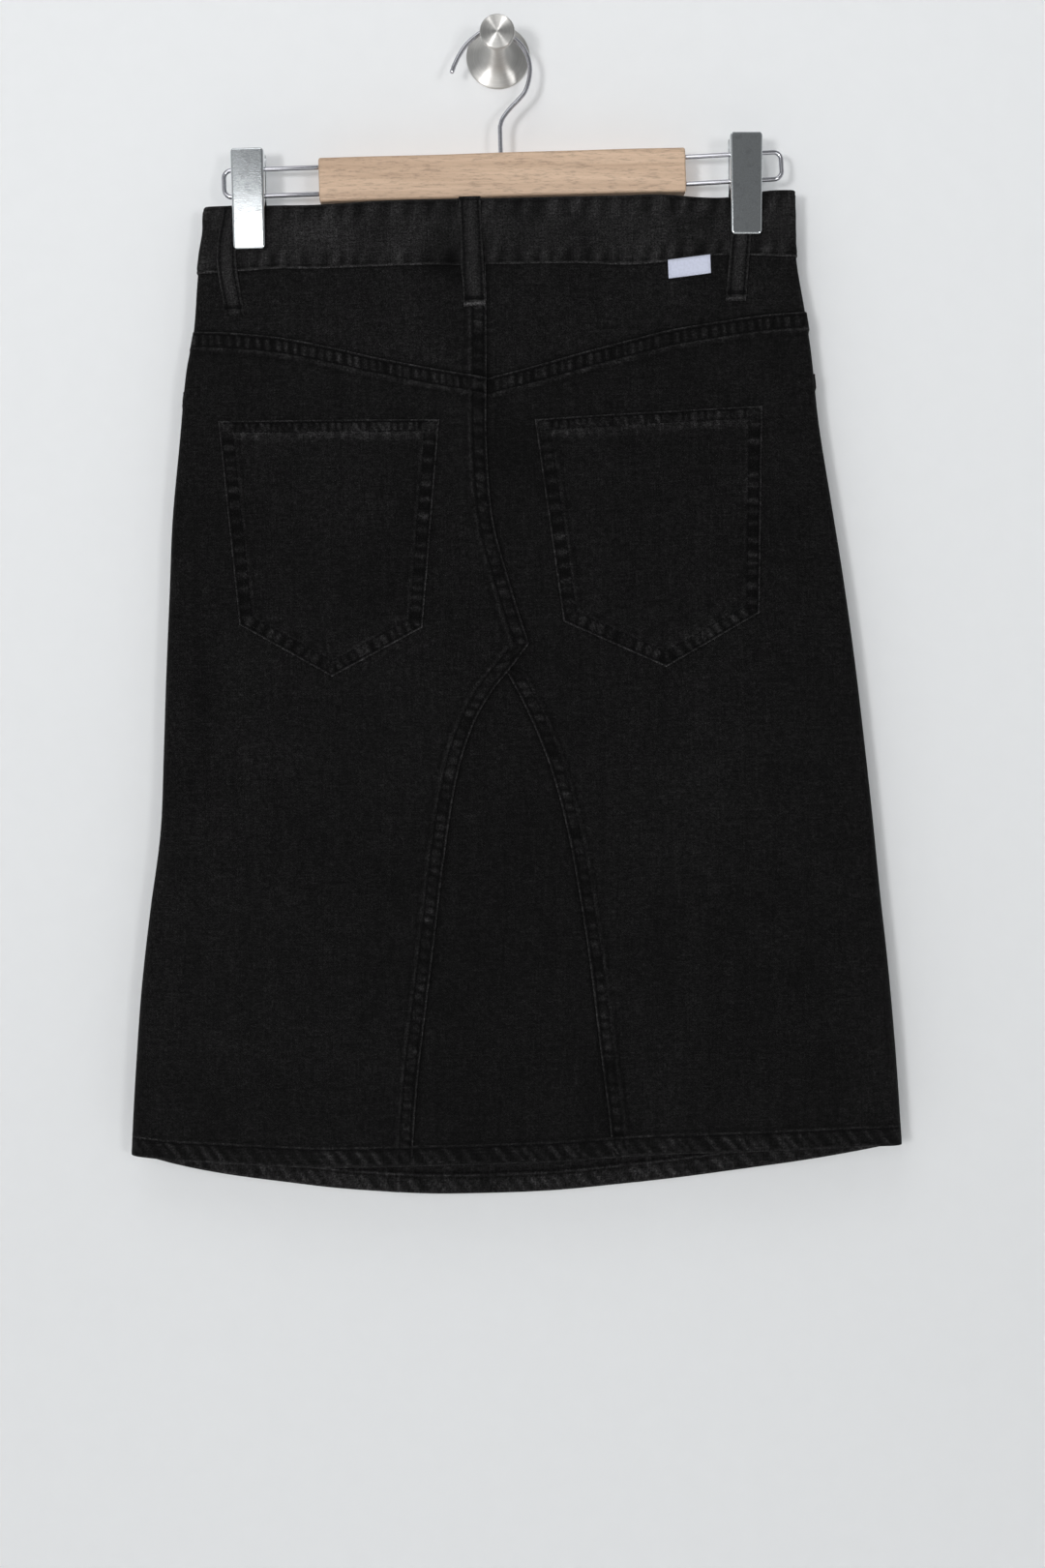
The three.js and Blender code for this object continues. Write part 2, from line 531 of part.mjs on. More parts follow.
function geometryOf(solid) {
  const mesh = solid.getMesh();
  const geometry = new THREE.BufferGeometry();
  geometry.setAttribute("position", new THREE.Float32BufferAttribute(mesh.vertProperties, 3));
  geometry.setIndex(new THREE.Uint32BufferAttribute(mesh.triVerts, 1));
  return geometry;
}

function roundedRectangle(left, right, bottom, top, radius) {
  const shape = new THREE.Shape();
  shape.absarc(right - radius, bottom + radius, radius, -Math.PI / 2, 0, false);
  shape.absarc(right - radius, top - radius, radius, 0, Math.PI / 2, false);
  shape.absarc(left + radius, top - radius, radius, Math.PI / 2, Math.PI, false);
  shape.absarc(left + radius, bottom + radius, radius, Math.PI, Math.PI * 1.5, false);
  shape.closePath();
  return shape;
}

const extrude = (shape, depth, curveSegments) =>
  new THREE.ExtrudeGeometry(shape, { depth, bevelEnabled: false, curveSegments });

// The wall knob, turned about the Y axis: a dished plate, a flared neck and a front disc.
function wallKnob() {
  const profile = [
    [0, 0], [20, 0], [20.8, 0.8], [20.8, 2], [20.2, 2.8], [16, 4], [12, 5.8], [9, 8.6], [7.4, 13], [6.6, 19],
    [NECK_RADIUS, 26], [6, 32], [6, 38], [6.4, 45.6], [10.5, 47.6], [11.1, 48.3], [11.1, 50.9], [10.4, 51.5], [0, 51.5],
  ].map(([radius, out]) => new THREE.Vector2(radius, out));
  return new THREE.LatheGeometry(profile, 24).rotateX(Math.PI);
}

// A round wire through points [x, z] of the middle plane, mitred where it bends.
function wire(route) {
  const points = route.map(([x, z]) => new THREE.Vector3(x, 0, z));
  const across = new THREE.Vector3(0, 1, 0);
  const last = points.length - 1;
  const positions = [];
  const index = [];
  points.forEach((p, i) => {
    const before = points[Math.max(0, i - 1)];
    const after = points[Math.min(last, i + 1)];
    const come = p.clone().sub(before).normalize();
    const go = after.clone().sub(p).normalize();
    const along = come.clone().add(go).normalize();
    const stretch = i === 0 || i === last ? 1 : 1 / along.dot(go);
    const side = along.clone().cross(across).multiplyScalar(stretch);
    for (let k = 0; k < WIRE_SIDES; k += 1) {
      const a = (k / WIRE_SIDES) * Math.PI * 2;
      const at = p.clone().addScaledVector(across, WIRE_RADIUS * Math.cos(a)).addScaledVector(side, WIRE_RADIUS * Math.sin(a));
      positions.push(...at.toArray());
    }
  });
  const at = (i, k) => i * WIRE_SIDES + (k % WIRE_SIDES);
  for (let k = 0; k < WIRE_SIDES; k += 1) {
    for (let i = 0; i < last; i += 1) {
      index.push(at(i, k), at(i, k + 1), at(i + 1, k + 1), at(i, k), at(i + 1, k + 1), at(i + 1, k));
    }
    if (k > 1) index.push(at(0, 0), at(0, k), at(0, k - 1), at(last, 0), at(last, k - 1), at(last, k));
  }
  const geometry = new THREE.BufferGeometry();
  geometry.setAttribute("position", new THREE.Float32BufferAttribute(positions, 3));
  geometry.setIndex(index);
  return geometry;
}

// The hanger's hook: an open arc, a slanting stretch, and a stem that goes down into the bar.
function hook() {
  const onArc = (degrees) => {
    const a = (degrees * Math.PI) / 180;
    return [HOOK_RADIUS * Math.cos(a), HOOK_RADIUS * Math.sin(a)];
  };
  const barTop = BAR.top - HOOK_ABOVE_WAIST;
  const route = [
    [-25.5, -0.5], [-23.6, 4.2], [-20.4, 10.2], [-15.8, 16.6], [-10, 21.6],
    ...[104, 91, 78, 65, 52, 39, 26, 13, 0, -13].map(onArc), [22.6, -11.2],
    [20.4, -15.6], [16.8, -19.6], [12.7, -23.6], [9, -27.6], [6.2, -31.6], [4.8, -35.6], [STEM_X, -40],
    [STEM_X, barTop - 14],
  ];
  return wire(route).translate(0, 0, HOOK_ABOVE_WAIST);
}

// Turns a runner's or a clip's geometry by its lean, about the point that it is measured from.
function leaned(geometry, degrees, x, z) {
  return geometry.translate(-x, 0, -z).rotateY((-degrees * Math.PI) / 180).translate(x, 0, z);
}

function woodenBar() {
  const outline = roundedRectangle(-BAR.depth / 2, BAR.depth / 2, BAR.bottom, BAR.top, 1.5);
  const length = BAR.right - BAR.left;
  let solid = solidOf(extrude(outline, length, 2).rotateX(Math.PI / 2).rotateZ(Math.PI / 2).translate(BAR.left, 0, 0));
  const bore = (depth) => new THREE.CylinderGeometry(WIRE_RADIUS + SEAM_GAP, WIRE_RADIUS + SEAM_GAP, depth, 12);
  const cut = (geometry) => {
    solid = solid.subtract(solidOf(geometry));
  };
  cut(bore(30).rotateX(Math.PI / 2).translate(STEM_X, 0, BAR.top));
  for (const { sign, upper, lower, end, leanDegrees } of RUNNERS) {
    const mouth = sign < 0 ? BAR.left : BAR.right;
    for (const height of [upper, lower]) {
      cut(leaned(bore(2 * RUNNER_IN_BAR + 2).rotateZ(Math.PI / 2).translate(mouth, 0, height), leanDegrees, end, upper));
    }
  }
  return geometryOf(solid);
}

// One wire runner: two straight wires joined by a squared loop at the outer end.
function runner({ sign, upper, lower, end, leanDegrees }) {
  const inner = (sign < 0 ? BAR.left : BAR.right) - sign * RUNNER_IN_BAR;
  const outer = end - sign * WIRE_RADIUS;
  const corner = (height, turn) =>
    spaced(0, Math.PI / 2, 4).map((a) => [
      outer - sign * RUNNER_CORNER * (1 - Math.sin(a)),
      height + turn * RUNNER_CORNER * (1 - Math.cos(a)),
    ]);
  const route = [[inner, upper], ...corner(upper, -1), ...corner(lower, 1).reverse(), [inner, lower]];
  return leaned(wire(route), leanDegrees, end, upper);
}

// The shape of a clip's face, narrower at its foot, with rounded corners. inset shrinks it on every side.
function clipFace({ top, foot, topWidth, footWidth }, inset) {
  const radius = CLIP_CORNER - inset;
  const corners = [[footWidth, foot + inset, 1], [topWidth, top - inset, -1]];
  const shape = new THREE.Shape();
  const right = corners.map(([width, z, up]) => ({ x: width / 2 - inset - radius, z: z + up * radius }));
  shape.absarc(right[0].x, right[0].z, radius, -Math.PI / 2, 0, false);
  shape.absarc(right[1].x, right[1].z, radius, 0, Math.PI / 2, false);
  shape.absarc(-right[1].x, right[1].z, radius, Math.PI / 2, Math.PI, false);
  shape.absarc(-right[0].x, right[0].z, radius, Math.PI, Math.PI * 1.5, false);
  shape.closePath();
  return shape;
}

// One pressed jaw of a clip: a channel whose flanges reach the runner's wires, and a flat lip that holds the cloth.
// lip is how far the lip's inner face stands off the middle plane. The jaw is drawn on the wall's side.
function jaw(clip, lip) {
  const flange = WIRE_RADIUS + SEAM_GAP;
  const { top, foot, x } = clip;
  // The channel seen from its side, as [height, distance off the middle plane].
  const side = (sheet, innerRoute) => {
    const route = [
      [foot, lip + sheet], [-14, lip + sheet + 0.3], [-2, 8.4 + sheet], [22, 8.4 + sheet], [top, 8.8 + sheet],
      ...innerRoute,
    ];
    const shape = new THREE.Shape();
    route.forEach(([z, y], k) => (k ? shape.lineTo(y, z) : shape.moveTo(y, z)));
    shape.closePath();
    const wide = extrude(shape, 60, 1).rotateX(Math.PI / 2).rotateZ(Math.PI / 2).translate(-30, 0, 0);
    return solidOf(wide);
  };
  const outline = (inset) => solidOf(extrude(clipFace(clip, inset), 30, 3).rotateX(Math.PI / 2).translate(0, 20, 0));
  const full = side(CLIP_SHEET, [[top, 5], [31, flange], [4, flange], [-1, lip], [foot, lip]]);
  const hollow = side(0, [[top, -1], [foot, -1]]);
  return geometryOf(full.intersect(outline(0)).subtract(hollow.intersect(outline(CLIP_SHEET)))).translate(x, 0, 0);
}

// The coiled spring of a clip, as a plain roll between the runner's two wires.
function clipSpring({ x, footWidth }, { upper, lower, end, leanDegrees }) {
  const radius = (upper - lower) / 2 - WIRE_RADIUS - 2 * SEAM_GAP;
  const roll = new THREE.CylinderGeometry(radius, radius, footWidth - 4.8, 16);
  return leaned(roll.rotateZ(Math.PI / 2).translate(x, 0, (upper + lower) / 2), leanDegrees, end, upper);
}

function button() {
  const level = waistTop("front", BUTTON.x) + WAISTBAND_HEIGHT / 2;
  const turn = turnAt("front", BUTTON.x, level);
  const foot = liftedPoint(turn, level, WAISTBAND_THICK / 2 + SEAM_GAP);
  const { radius, thick } = BUTTON;
  const profile = [
    [0, 0], [radius - 2.2, 0], [radius - 1.6, 0.9], [radius, 1.2], [radius, thick - 0.7], [radius - 0.9, thick],
    [radius - 2.2, thick - 0.5], [0, thick - 0.7],
  ].map(([r, out]) => new THREE.Vector2(r, out));
  const outward = liftedPoint(turn, level, 1).sub(clothPoint(turn, level)).normalize();
  const geometry = new THREE.LatheGeometry(profile, 20);
  geometry.applyQuaternion(new THREE.Quaternion().setFromUnitVectors(new THREE.Vector3(0, 1, 0), outward));
  return geometry.translate(foot.x, foot.y, foot.z);
}

// Materials
const finish = (color, roughness, metalness) => new THREE.MeshStandardMaterial({ color, roughness, metalness });
const MATERIALS = {
  denim: finish(0x1b1b1c, 0.92, 0),
  tab: finish(0xd9dce8, 0.8, 0),
  zip: finish(0x151516, 0.7, 0),
  steel: finish(0xa9adb0, 0.32, 1),
  wood: finish(0xd3b594, 0.6, 0),
};

function named(name, geometry, material) {
  const mesh = new THREE.Mesh(geometry, material);
  mesh.name = name;
  return mesh;
}

// How far off the middle plane the lips of a clip lie: just clear of the waistband, and on the back of its belt loop.
function lipHeights({ x, sign, foot, footWidth }) {
  const innerEdge = x - (sign * footWidth) / 2;
  const onBand = section(-foot).fold + WAISTBAND_THICK / 2 + SEAM_GAP;
  return {
    outer: onBand + swell("back", innerEdge, -foot) + LOOP.thick + SEAM_GAP,
    wall: onBand + swell("front", innerEdge, -foot),
  };
}

function hangerGroup() {
  const group = new THREE.Group();
  group.add(named("hanger_hook", hook(), MATERIALS.steel));
  group.add(named("hanger_bar", woodenBar(), MATERIALS.wood));
  CLIPS.forEach((clip, k) => {
    const line = RUNNERS[k];
    const { outer, wall } = lipHeights(clip);
    const jawAcross = (lip) => leaned(jaw(clip, lip), clip.leanDegrees, clip.x, 0);
    // The outer jaw is the wall one turned through half a turn about the clip's own upright line.
    const outerJaw = jaw(clip, outer).translate(-clip.x, 0, 0).rotateZ(Math.PI).translate(clip.x, 0, 0);
    group.add(named(`runner_${line.name}`, runner(line), MATERIALS.steel));
    group.add(named(`clip_${clip.name}_outer_jaw`, leaned(outerJaw, clip.leanDegrees, clip.x, 0), MATERIALS.steel));
    group.add(named(`clip_${clip.name}_wall_jaw`, jawAcross(wall), MATERIALS.steel));
    group.add(named(`clip_${clip.name}_spring`, clipSpring(clip, line), MATERIALS.steel));
  });
  return group;
}

function skirtGroup() {
  const group = new THREE.Group();
  const walls = { ...waistbandPieces(), ...backPieces(), ...frontPieces(), ...smallPieces() };
  const materialOf = { side_tab: MATERIALS.tab, fly_zip: MATERIALS.zip };
  for (const [name, grid] of Object.entries(walls)) {
    group.add(named(name, wallGeometry(grid), materialOf[name] ?? MATERIALS.denim));
  }
  group.add(named("waist_button", button(), MATERIALS.steel));
  return group;
}

// The hook's wire rests on the knob's neck, so its centre hangs this far from the knob's axis.
const hookDrop = HOOK_RADIUS - WIRE_RADIUS - NECK_RADIUS - SEAM_GAP;
const tilt = (TILT_DEGREES * Math.PI) / 180;
const lean = Math.asin(STEM_X / hookDrop);

const hung = new THREE.Group();
const level = new THREE.Group().add(hangerGroup(), skirtGroup());
level.position.set(0, 0, -HOOK_ABOVE_WAIST);
hung.add(level);
hung.rotation.y = -tilt;
hung.position.set(-hookDrop * Math.sin(lean - tilt), -WALL_TO_HANGER, -hookDrop * Math.cos(lean - tilt));

const skirt = new THREE.Group();
skirt.add(named("wall_knob", wallKnob(), MATERIALS.steel), hung);

export default skirt;
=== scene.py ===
"""A washed black denim skirt that hangs by two clips from a wooden hanger, on a wall knob.

Lengths are millimetres in the garment's own level frame: x across, "down" below the waist, z up.
`placed` turns them into metres in the row's frame. Each cut piece is a closed wall on the solid's form.
"""

import math

import bpy
import numpy as np
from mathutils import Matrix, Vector


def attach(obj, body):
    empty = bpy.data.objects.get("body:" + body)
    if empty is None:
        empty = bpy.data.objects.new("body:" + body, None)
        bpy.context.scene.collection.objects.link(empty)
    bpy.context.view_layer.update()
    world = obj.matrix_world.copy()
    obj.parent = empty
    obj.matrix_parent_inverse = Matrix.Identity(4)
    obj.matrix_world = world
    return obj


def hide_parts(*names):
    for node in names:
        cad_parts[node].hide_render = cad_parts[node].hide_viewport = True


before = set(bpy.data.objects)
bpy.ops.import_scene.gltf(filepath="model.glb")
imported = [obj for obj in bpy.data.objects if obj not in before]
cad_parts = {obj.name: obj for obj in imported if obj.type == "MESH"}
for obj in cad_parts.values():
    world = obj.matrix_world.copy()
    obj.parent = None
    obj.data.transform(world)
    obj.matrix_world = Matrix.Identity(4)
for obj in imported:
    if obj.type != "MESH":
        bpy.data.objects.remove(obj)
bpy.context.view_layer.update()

# Sizes shared with the solids
WALL_TO_HANGER = 26
TILT_DEGREES = 1.65
DENIM = 1.3
WAISTBAND_THICK = 3.0
WAISTBAND_HEIGHT = 42
FRONT_DIP = 22
FRONT_HEM_DROP = 26
HOOK_RADIUS = 24.8
WIRE_RADIUS = 1.5
NECK_RADIUS = 6.2
HOOK_ABOVE_WAIST = 83.2
STEM_X = 4.4
BAR = {"left": -112.5, "right": 122.5, "bottom": 0.3, "top": 28.6, "depth": 13}
RUNNERS = {
    "left": {"sign": -1, "upper": 23.4, "lower": 6.3, "end": -175.5, "lean": 0.4},
    "right": {"sign": 1, "upper": 25.3, "lower": 8, "end": 185.7, "lean": 1.5},
}
RUNNER_CORNER = 5
RUNNER_IN_BAR = 22
CLIPS = {
    "left": {
        "sign": -1, "x": -157.7, "top": 35.2, "foot": -29.4,
        "top_width": 21.2, "foot_width": 20.4, "lean": -0.2,
    },
    "right": {
        "sign": 1, "x": 160.6, "top": 36.2, "foot": -29,
        "top_width": 20.8, "foot_width": 19.6, "lean": -1.5,
    },
}
CLIP_SHEET = 1.2
CLIP_CORNER = 2.5
SEAM_GAP = 0.3
HEM_HEIGHT = 12.5
HEM_STITCH = 11.1
TUCK_UNDER_BAND = 2.5
LAP_UNDER = 4
POCKET_STITCHES = (1.9, 8.4)

# The flattened tube of the skirt, level by level: its side folds, their radius and how far its faces swell.
SECTION_COLUMNS = ("down", "left", "right", "fold", "back", "front")
SECTIONS = (
    (0, -185, 191.5, 2.2, 6.5, 5),
    (42, -191.5, 191.5, 2.2, 8, 6),
    (80, -195.5, 196.5, 3, 9, 7),
    (105, -201, 199.5, 3.4, 9.5, 7.5),
    (150, -206.5, 203, 4, 10, 8),
    (200, -212.5, 209.5, 4.6, 10, 8.5),
    (250, -216, 216, 5, 10.5, 9),
    (300, -219.5, 221.5, 5.4, 11, 10),
    (350, -222.5, 226, 5.8, 12, 11),
    (400, -226, 230, 6, 13, 11.5),
    (450, -234, 233.5, 6.4, 14, 12),
    (500, -241, 237.5, 6.8, 15, 12.5),
    (550, -246, 240.5, 7, 16, 12.5),
    (600, -250, 242.5, 7.2, 17, 12.5),
    (660, -253, 244, 7.2, 17, 12.5),
)
BULGE_POWER = 1.3
LOWEST_LEVEL = 640
# Soft flutes: x, half width, rise at the hem, and the level from which they grow.
FLUTES = {
    "back": ((-128, 40, 3.2, 300), (-205, 24, -2.2, 380), (150, 38, 2.8, 320), (92, 26, -2, 380)),
    "front": ((-140, 42, 3.5, 300), (-60, 28, -2.5, 360), (138, 40, 3.2, 320)),
}
# Edges that run across, as (x, down).
WAIST_TOP = (
    (-196, 0.1), (-172, 0.1), (-140, 1), (-115, 1.5), (-58, 0.6),
    (-15, 1.4), (50, 1.7), (82, 1.8), (108, 1.6),
    (132, 3.7), (150, 3.9), (176, 0.1), (198, 0.1),
)
WAIST_SEAM = (
    (-196, 42.6), (-172, 42), (-140, 41.2), (-115, 42.2), (-58, 42.3), (-15, 43.4), (50, 44.2), (82, 45.8),
    (108, 44.4), (132, 41), (150, 40.6), (176, 41.6), (198, 42.6),
)
YOKE_EDGE = (
    (-200, 80), (-176, 81.5), (-139, 86.5), (-105, 94.5),
    (-79, 101.5), (-44, 109.5), (-14, 115.8), (-7.5, 117.2),
    (-3, 116.1), (19, 111), (56, 101.5), (79, 96), (109, 89), (138, 84.5), (168, 80.5), (200, 78.5),
)
BACK_HEM = (
    (-256, 605.5), (-225, 609.5), (-199, 611.5), (-160, 613.3),
    (-118, 615), (10, 615), (70, 613.3), (150, 613),
    (248, 613.8),
)
# Seams that run down, as (down, x). The first two run on past their corner, for the distance to them there.
CENTRE_BACK = (
    (42, -7.2), (73, -7.4), (116, -8.6), (150, -9.7), (185, -9),
    (212, -6.4), (242, 0.8), (269, 8.2), (287, 13.6),
    (305, 19),
)
BACK_GUSSET_LEFT = (
    (269, 28), (287, 13.6), (301, 2.4), (317, -11), (338, -23.5), (370, -34.4), (422, -44.2), (478, -52.4),
    (518, -58.5), (558, -64.4), (604, -69), (650, -72),
)
BACK_GUSSET_RIGHT = (
    (305, -1.1), (320, 6.5), (338, 14.5), (368, 25.2), (405, 34), (451, 41.2), (495, 46.4), (541, 50.6),
    (591, 55.4), (650, 60),
)
CORNER_LEVEL = 287
GUSSET_LEVEL = 305
FRONT_GUSSET_TOP = 285
CENTRE_FRONT_X = 3
FRONT_GUSSET_LEFT = (
    (285, 3), (310, -13), (340, -26), (370, -36), (420, -48),
    (480, -59), (540, -68), (600, -76), (660, -82),
)
FRONT_GUSSET_RIGHT = (
    (285, 3), (310, 18), (340, 29), (370, 37), (420, 47), (480, 56), (540, 63), (600, 69), (660, 73),
)
# Corners as (x, down): top left, top right, bottom right, tip, bottom left.
BACK_POCKETS = {
    "back_pocket_left": ((-181, 138.5), (-39.4, 142.6), (-53.8, 274.8), (-112.2, 304.2), (-170.8, 269.3)),
    "back_pocket_right": ((21.2, 144.4), (166.9, 138.7), (160.8, 271.2), (100.2, 304.3), (35.7, 273.6)),
}
# Side, width, the x of the middle at the top, half way and at the foot, and how far its end is worn.
BELT_LOOPS = {
    "belt_loop_back_left": ("back", 12.6, -167.5, -172.8, -168.6, -0.3),
    "belt_loop_back_centre": ("back", 14, -16.2, -15.6, -14.8, 4.4),
    "belt_loop_back_right": ("back", 13, 159.5, 156, 152, 1.6),
    "belt_loop_front_left": ("front", 13, -84, -84, -84, 1.5),
    "belt_loop_front_right": ("front", 13, 88, 88, 88, 1.5),
}
LOOP_THICK = 1.8
LOOP_TOP = 1.6
LOOP_LENGTH = 69.5
TAB = ((109, 44.2), (136.3, 41), (136.3, 53.1), (109.2, 56.1))
POCKET_MOUTH = {"from": 80, "side_level": 118, "round": 0.7}
BUTTON = {"x": -11, "radius": 8.5, "thick": 3.2}
UNDERLAP = 35
ZIP = {"left": -10, "right": 16, "top": 69, "bottom": 200}
SHIELD = {"left": -18, "right": 20, "top": 68, "bottom": 206}


# Curves and noise
def smooth_step(t):
    t = np.clip(t, 0, 1)
    return t * t * (3 - 2 * t)


def lerp(a, b, t):
    return a + (b - a) * t


def bell(distance, width):
    return np.exp(-((distance / width) ** 2))


def smooth(rows, at):
    """A smooth curve through (x, y) rows, read at the places given."""
    x, y = np.array(rows, float).T
    at = np.asarray(at, float)
    i = np.clip(np.searchsorted(x, at) - 1, 0, len(x) - 2)
    ends = np.arange(len(x))
    before, after = np.maximum(ends - 1, 0), np.minimum(ends + 1, len(x) - 1)
    slope = (y[after] - y[before]) / (x[after] - x[before])
    width = x[i + 1] - x[i]
    t = np.clip((at - x[i]) / width, 0, 1)
    rest = 1 - t
    value = y[i] * (1 + 2 * t) * rest**2 + y[i + 1] * t * t * (3 - 2 * t)
    return value + width * t * rest * (slope[i] * rest - slope[i + 1] * t)


def noise_line(s, cell, seed):
    """Smooth noise from -1 to 1 along s."""
    knots = np.random.default_rng(seed).uniform(-1, 1, 1024)
    t = np.asarray(s, float) / cell + 200
    i = np.floor(t).astype(int)
    return lerp(knots[i % 1024], knots[(i + 1) % 1024], smooth_step(t - i))


def noise_area(x, y, cell_x, cell_y, seed):
    """Smooth noise from -1 to 1 over a plane."""
    knots = np.random.default_rng(seed).uniform(-1, 1, (128, 128))
    u, v = np.asarray(x, float) / cell_x + 300, np.asarray(y, float) / cell_y + 300
    i, j = np.floor(u).astype(int), np.floor(v).astype(int)
    a, b = smooth_step(u - i), smooth_step(v - j)
    i, j, i2, j2 = i % 128, j % 128, (i + 1) % 128, (j + 1) % 128
    return lerp(lerp(knots[i, j], knots[i2, j], a), lerp(knots[i, j2], knots[i2, j2], a), b)


def crests(s, pitch, seed, width=0.3, uneven=0.3):
    """Rounded crests of uneven height at uneven places along s."""
    rng = np.random.default_rng(seed)
    first = float(np.min(s)) - 2 * pitch
    count = int((float(np.max(s)) - first) / pitch * 1.4) + 8
    places = first + np.cumsum(pitch * rng.uniform(1 - uneven, 1 + uneven, count))
    heights = rng.uniform(1 - 2 * uneven, 1, count)
    widths = pitch * width * rng.uniform(0.75, 1.25, count)
    near = np.searchsorted(places, s)
    total = np.zeros(np.shape(s))
    for k in (-1, 0):
        j = np.clip(near + k, 0, count - 1)
        total = np.maximum(total, heights[j] * bell(s - places[j], widths[j]))
    return total


# The form of the cloth
LEVELS = np.arange(-20, 700, 0.5)
SECTION_AT = {
    name: smooth([(row[0], row[k]) for row in SECTIONS], LEVELS)
    for k, name in enumerate(SECTION_COLUMNS) if k
}


def section(name, down):
    return np.interp(down, LEVELS, SECTION_AT[name])


def middle_of(down):
    return (section("left", down) + section("right", down)) / 2


def half_of(down):
    return (section("right", down) - section("left", down)) / 2


def swell(side, x, down):
    share = (x - middle_of(down)) / half_of(down)
    out = section(side, down) * np.maximum(0, 1 - share * share) ** BULGE_POWER
    for at, half, rise, start in FLUTES[side]:
        out = out + rise * smooth_step((down - start) / (LOWEST_LEVEL - start)) * bell(x - at, half)
    return out


def x_along(along, down):
    bend = np.maximum(0, np.abs(along) - 1) * (math.pi / 2)
    fold = section("fold", down)
    flat = np.clip(along, -1, 1) * (half_of(down) - fold)
    return middle_of(down) + flat + np.sign(along) * fold * np.sin(bend)


def along_of_run(run, down):
    """run is the distance from the middle of a face, measured along the cloth."""
    fold = section("fold", down)
    flat = half_of(down) - fold
    beyond = (np.abs(run) - flat) / (fold * math.pi / 2)
    return np.where(np.abs(run) <= flat, run / flat, np.sign(run) * (1 + np.clip(beyond, 0, 1)))


def turn_of(side, along):
    return along if side == "back" else np.where(along >= 0, 4 - along, -4 - along)


def turn_at(side, x, down):
    return turn_of(side, (x - middle_of(down)) / (half_of(down) - section("fold", down)))


# Creases of the hanging cloth: side, (x, down) of the two ends, half width, and depth (below 0 is a ridge).
CREASES = (
    ("back", -32, 421, 37, 398, 8, 1.1),
    ("back", -40, 436, 40, 414, 12, -0.7),
    ("back", -193, 278, -196, 372, 7, 1.2),
    ("back", -205, 285, -208, 380, 5, -0.8),
    ("back", -92, 385, -59, 510, 13, 1.3),
    ("back", 125, 325, 122, 450, 34, -1.6),
    ("back", 62, 470, 80, 590, 12, 1.2),
    ("back", 146, 430, 150, 540, 14, 1.2),
    ("back", -60, 255, -18, 215, 7, 0.8),
    ("back", -140, 330, -150, 420, 22, -0.9),
    ("back", -232, 420, -226, 462, 5, 1.3),
    ("back", 196, 205, 192, 290, 6, 1.0),
    ("back", -39, 12, -22, 56, 4.5, 1.5),
    ("back", -52, 18, -40, 52, 5, -0.8),
    ("back", 106, 6, 86, 30, 4, 1.1),
    ("back", 184, 10, 182, 46, 3, 1.1),
    ("back", 134, 6, 128, 34, 3.5, 0.8),
    ("front", -60, 250, -150, 330, 14, 1.2),
    ("front", 70, 240, 150, 310, 14, 1.1),
    ("front", -20, 320, -30, 560, 16, -1.2),
    ("front", 100, 360, 118, 560, 18, 1.4),
    ("front", -120, 380, -140, 580, 20, 1.3),
)
# Patches on the back's cloth: paler where wear rubbed it (above 0), and darker below 0, which is painted
# shade, mostly along the creases and in seam corners: x, down, half width, half height, amount.
WEAR_AND_PAINTED_SHADE = (
    (-157, 167, 22, 25, 0.22), (-112, 200, 37, 31, 0.1), (-96, 77, 43, 19, 0.15), (-190, 123, 19, 31, 0.1),
    (-141, 347, 49, 31, 0.12), (124, 392, 46, 59, 0.22), (80, 193, 37, 49, 0.05), (-224, 449, 9, 37, 0.3),
    (-230, 548, 12, 25, 0.2), (-170, 525, 43, 37, 0.1), (224, 549, 15, 49, 0.12), (55, 519, 6, 15, 0.3),
    (-27, 45, 22, 9, -0.45), (-7.5, 118, 1.8, 9, -0.6), (197, 62, 3, 22, 0.9), (4, 160, 22, 22, -0.3),
    (-17, 119, 12, 7, -0.25), (-82, 244, 28, 25, -0.18),
    (-194, 318, 9, 40, -0.3), (8, 296, 11, 15, -0.3), (-72, 435, 19, 22, -0.2), (-74, 491, 28, 25, -0.22),
    (51, 568, 12, 19, -0.3), (140, 451, 15, 19, -0.15), (145, 503, 19, 31, -0.15), (-142, 384, 15, 19, -0.15),
    (178, 214, 12, 31, -0.15), (-34, 498, 31, 49, -0.08), (-110, 18, 32, 10, 0.25), (-30, 28, 9, 18, -0.5),
    (-44, 34, 8, 12, -0.25), (-22, 12, 10, 8, 0.2), (60, 14, 30, 8, 0.2), (128, 24, 14, 18, -0.2),
)


def creased(side, x, down):
    """Small rises and troughs of the whole cloth, which everything on it follows."""
    ease = smooth_step((down - 30) / 60)
    out = ease * 0.45 * noise_area(x, down, 38, 85, 3 if side == "back" else 4)
    for where, x0, down0, x1, down1, half, depth in CREASES:
        if where != side:
            continue
        length = math.hypot(x1 - x0, down1 - down0)
        t = ((x - x0) * (x1 - x0) + (down - down0) * (down1 - down0)) / length**2
        off = ((x - x0) * (down1 - down0) - (down - down0) * (x1 - x0)) / length
        out = out - depth * bell(off, half) * smooth_step(t * 3 + 0.5) * smooth_step((1 - t) * 3 + 0.5)
    return out


# Paler patches of wear, and darker patches of painted shade.
def wear_and_painted_shade(x, down):
    total = 1 + 0 * x
    for at_x, at_down, half_x, half_down, amount in WEAR_AND_PAINTED_SHADE:
        total = total + amount * np.exp(-(((x - at_x) / half_x) ** 2) - ((down - at_down) / half_down) ** 2)
    return total


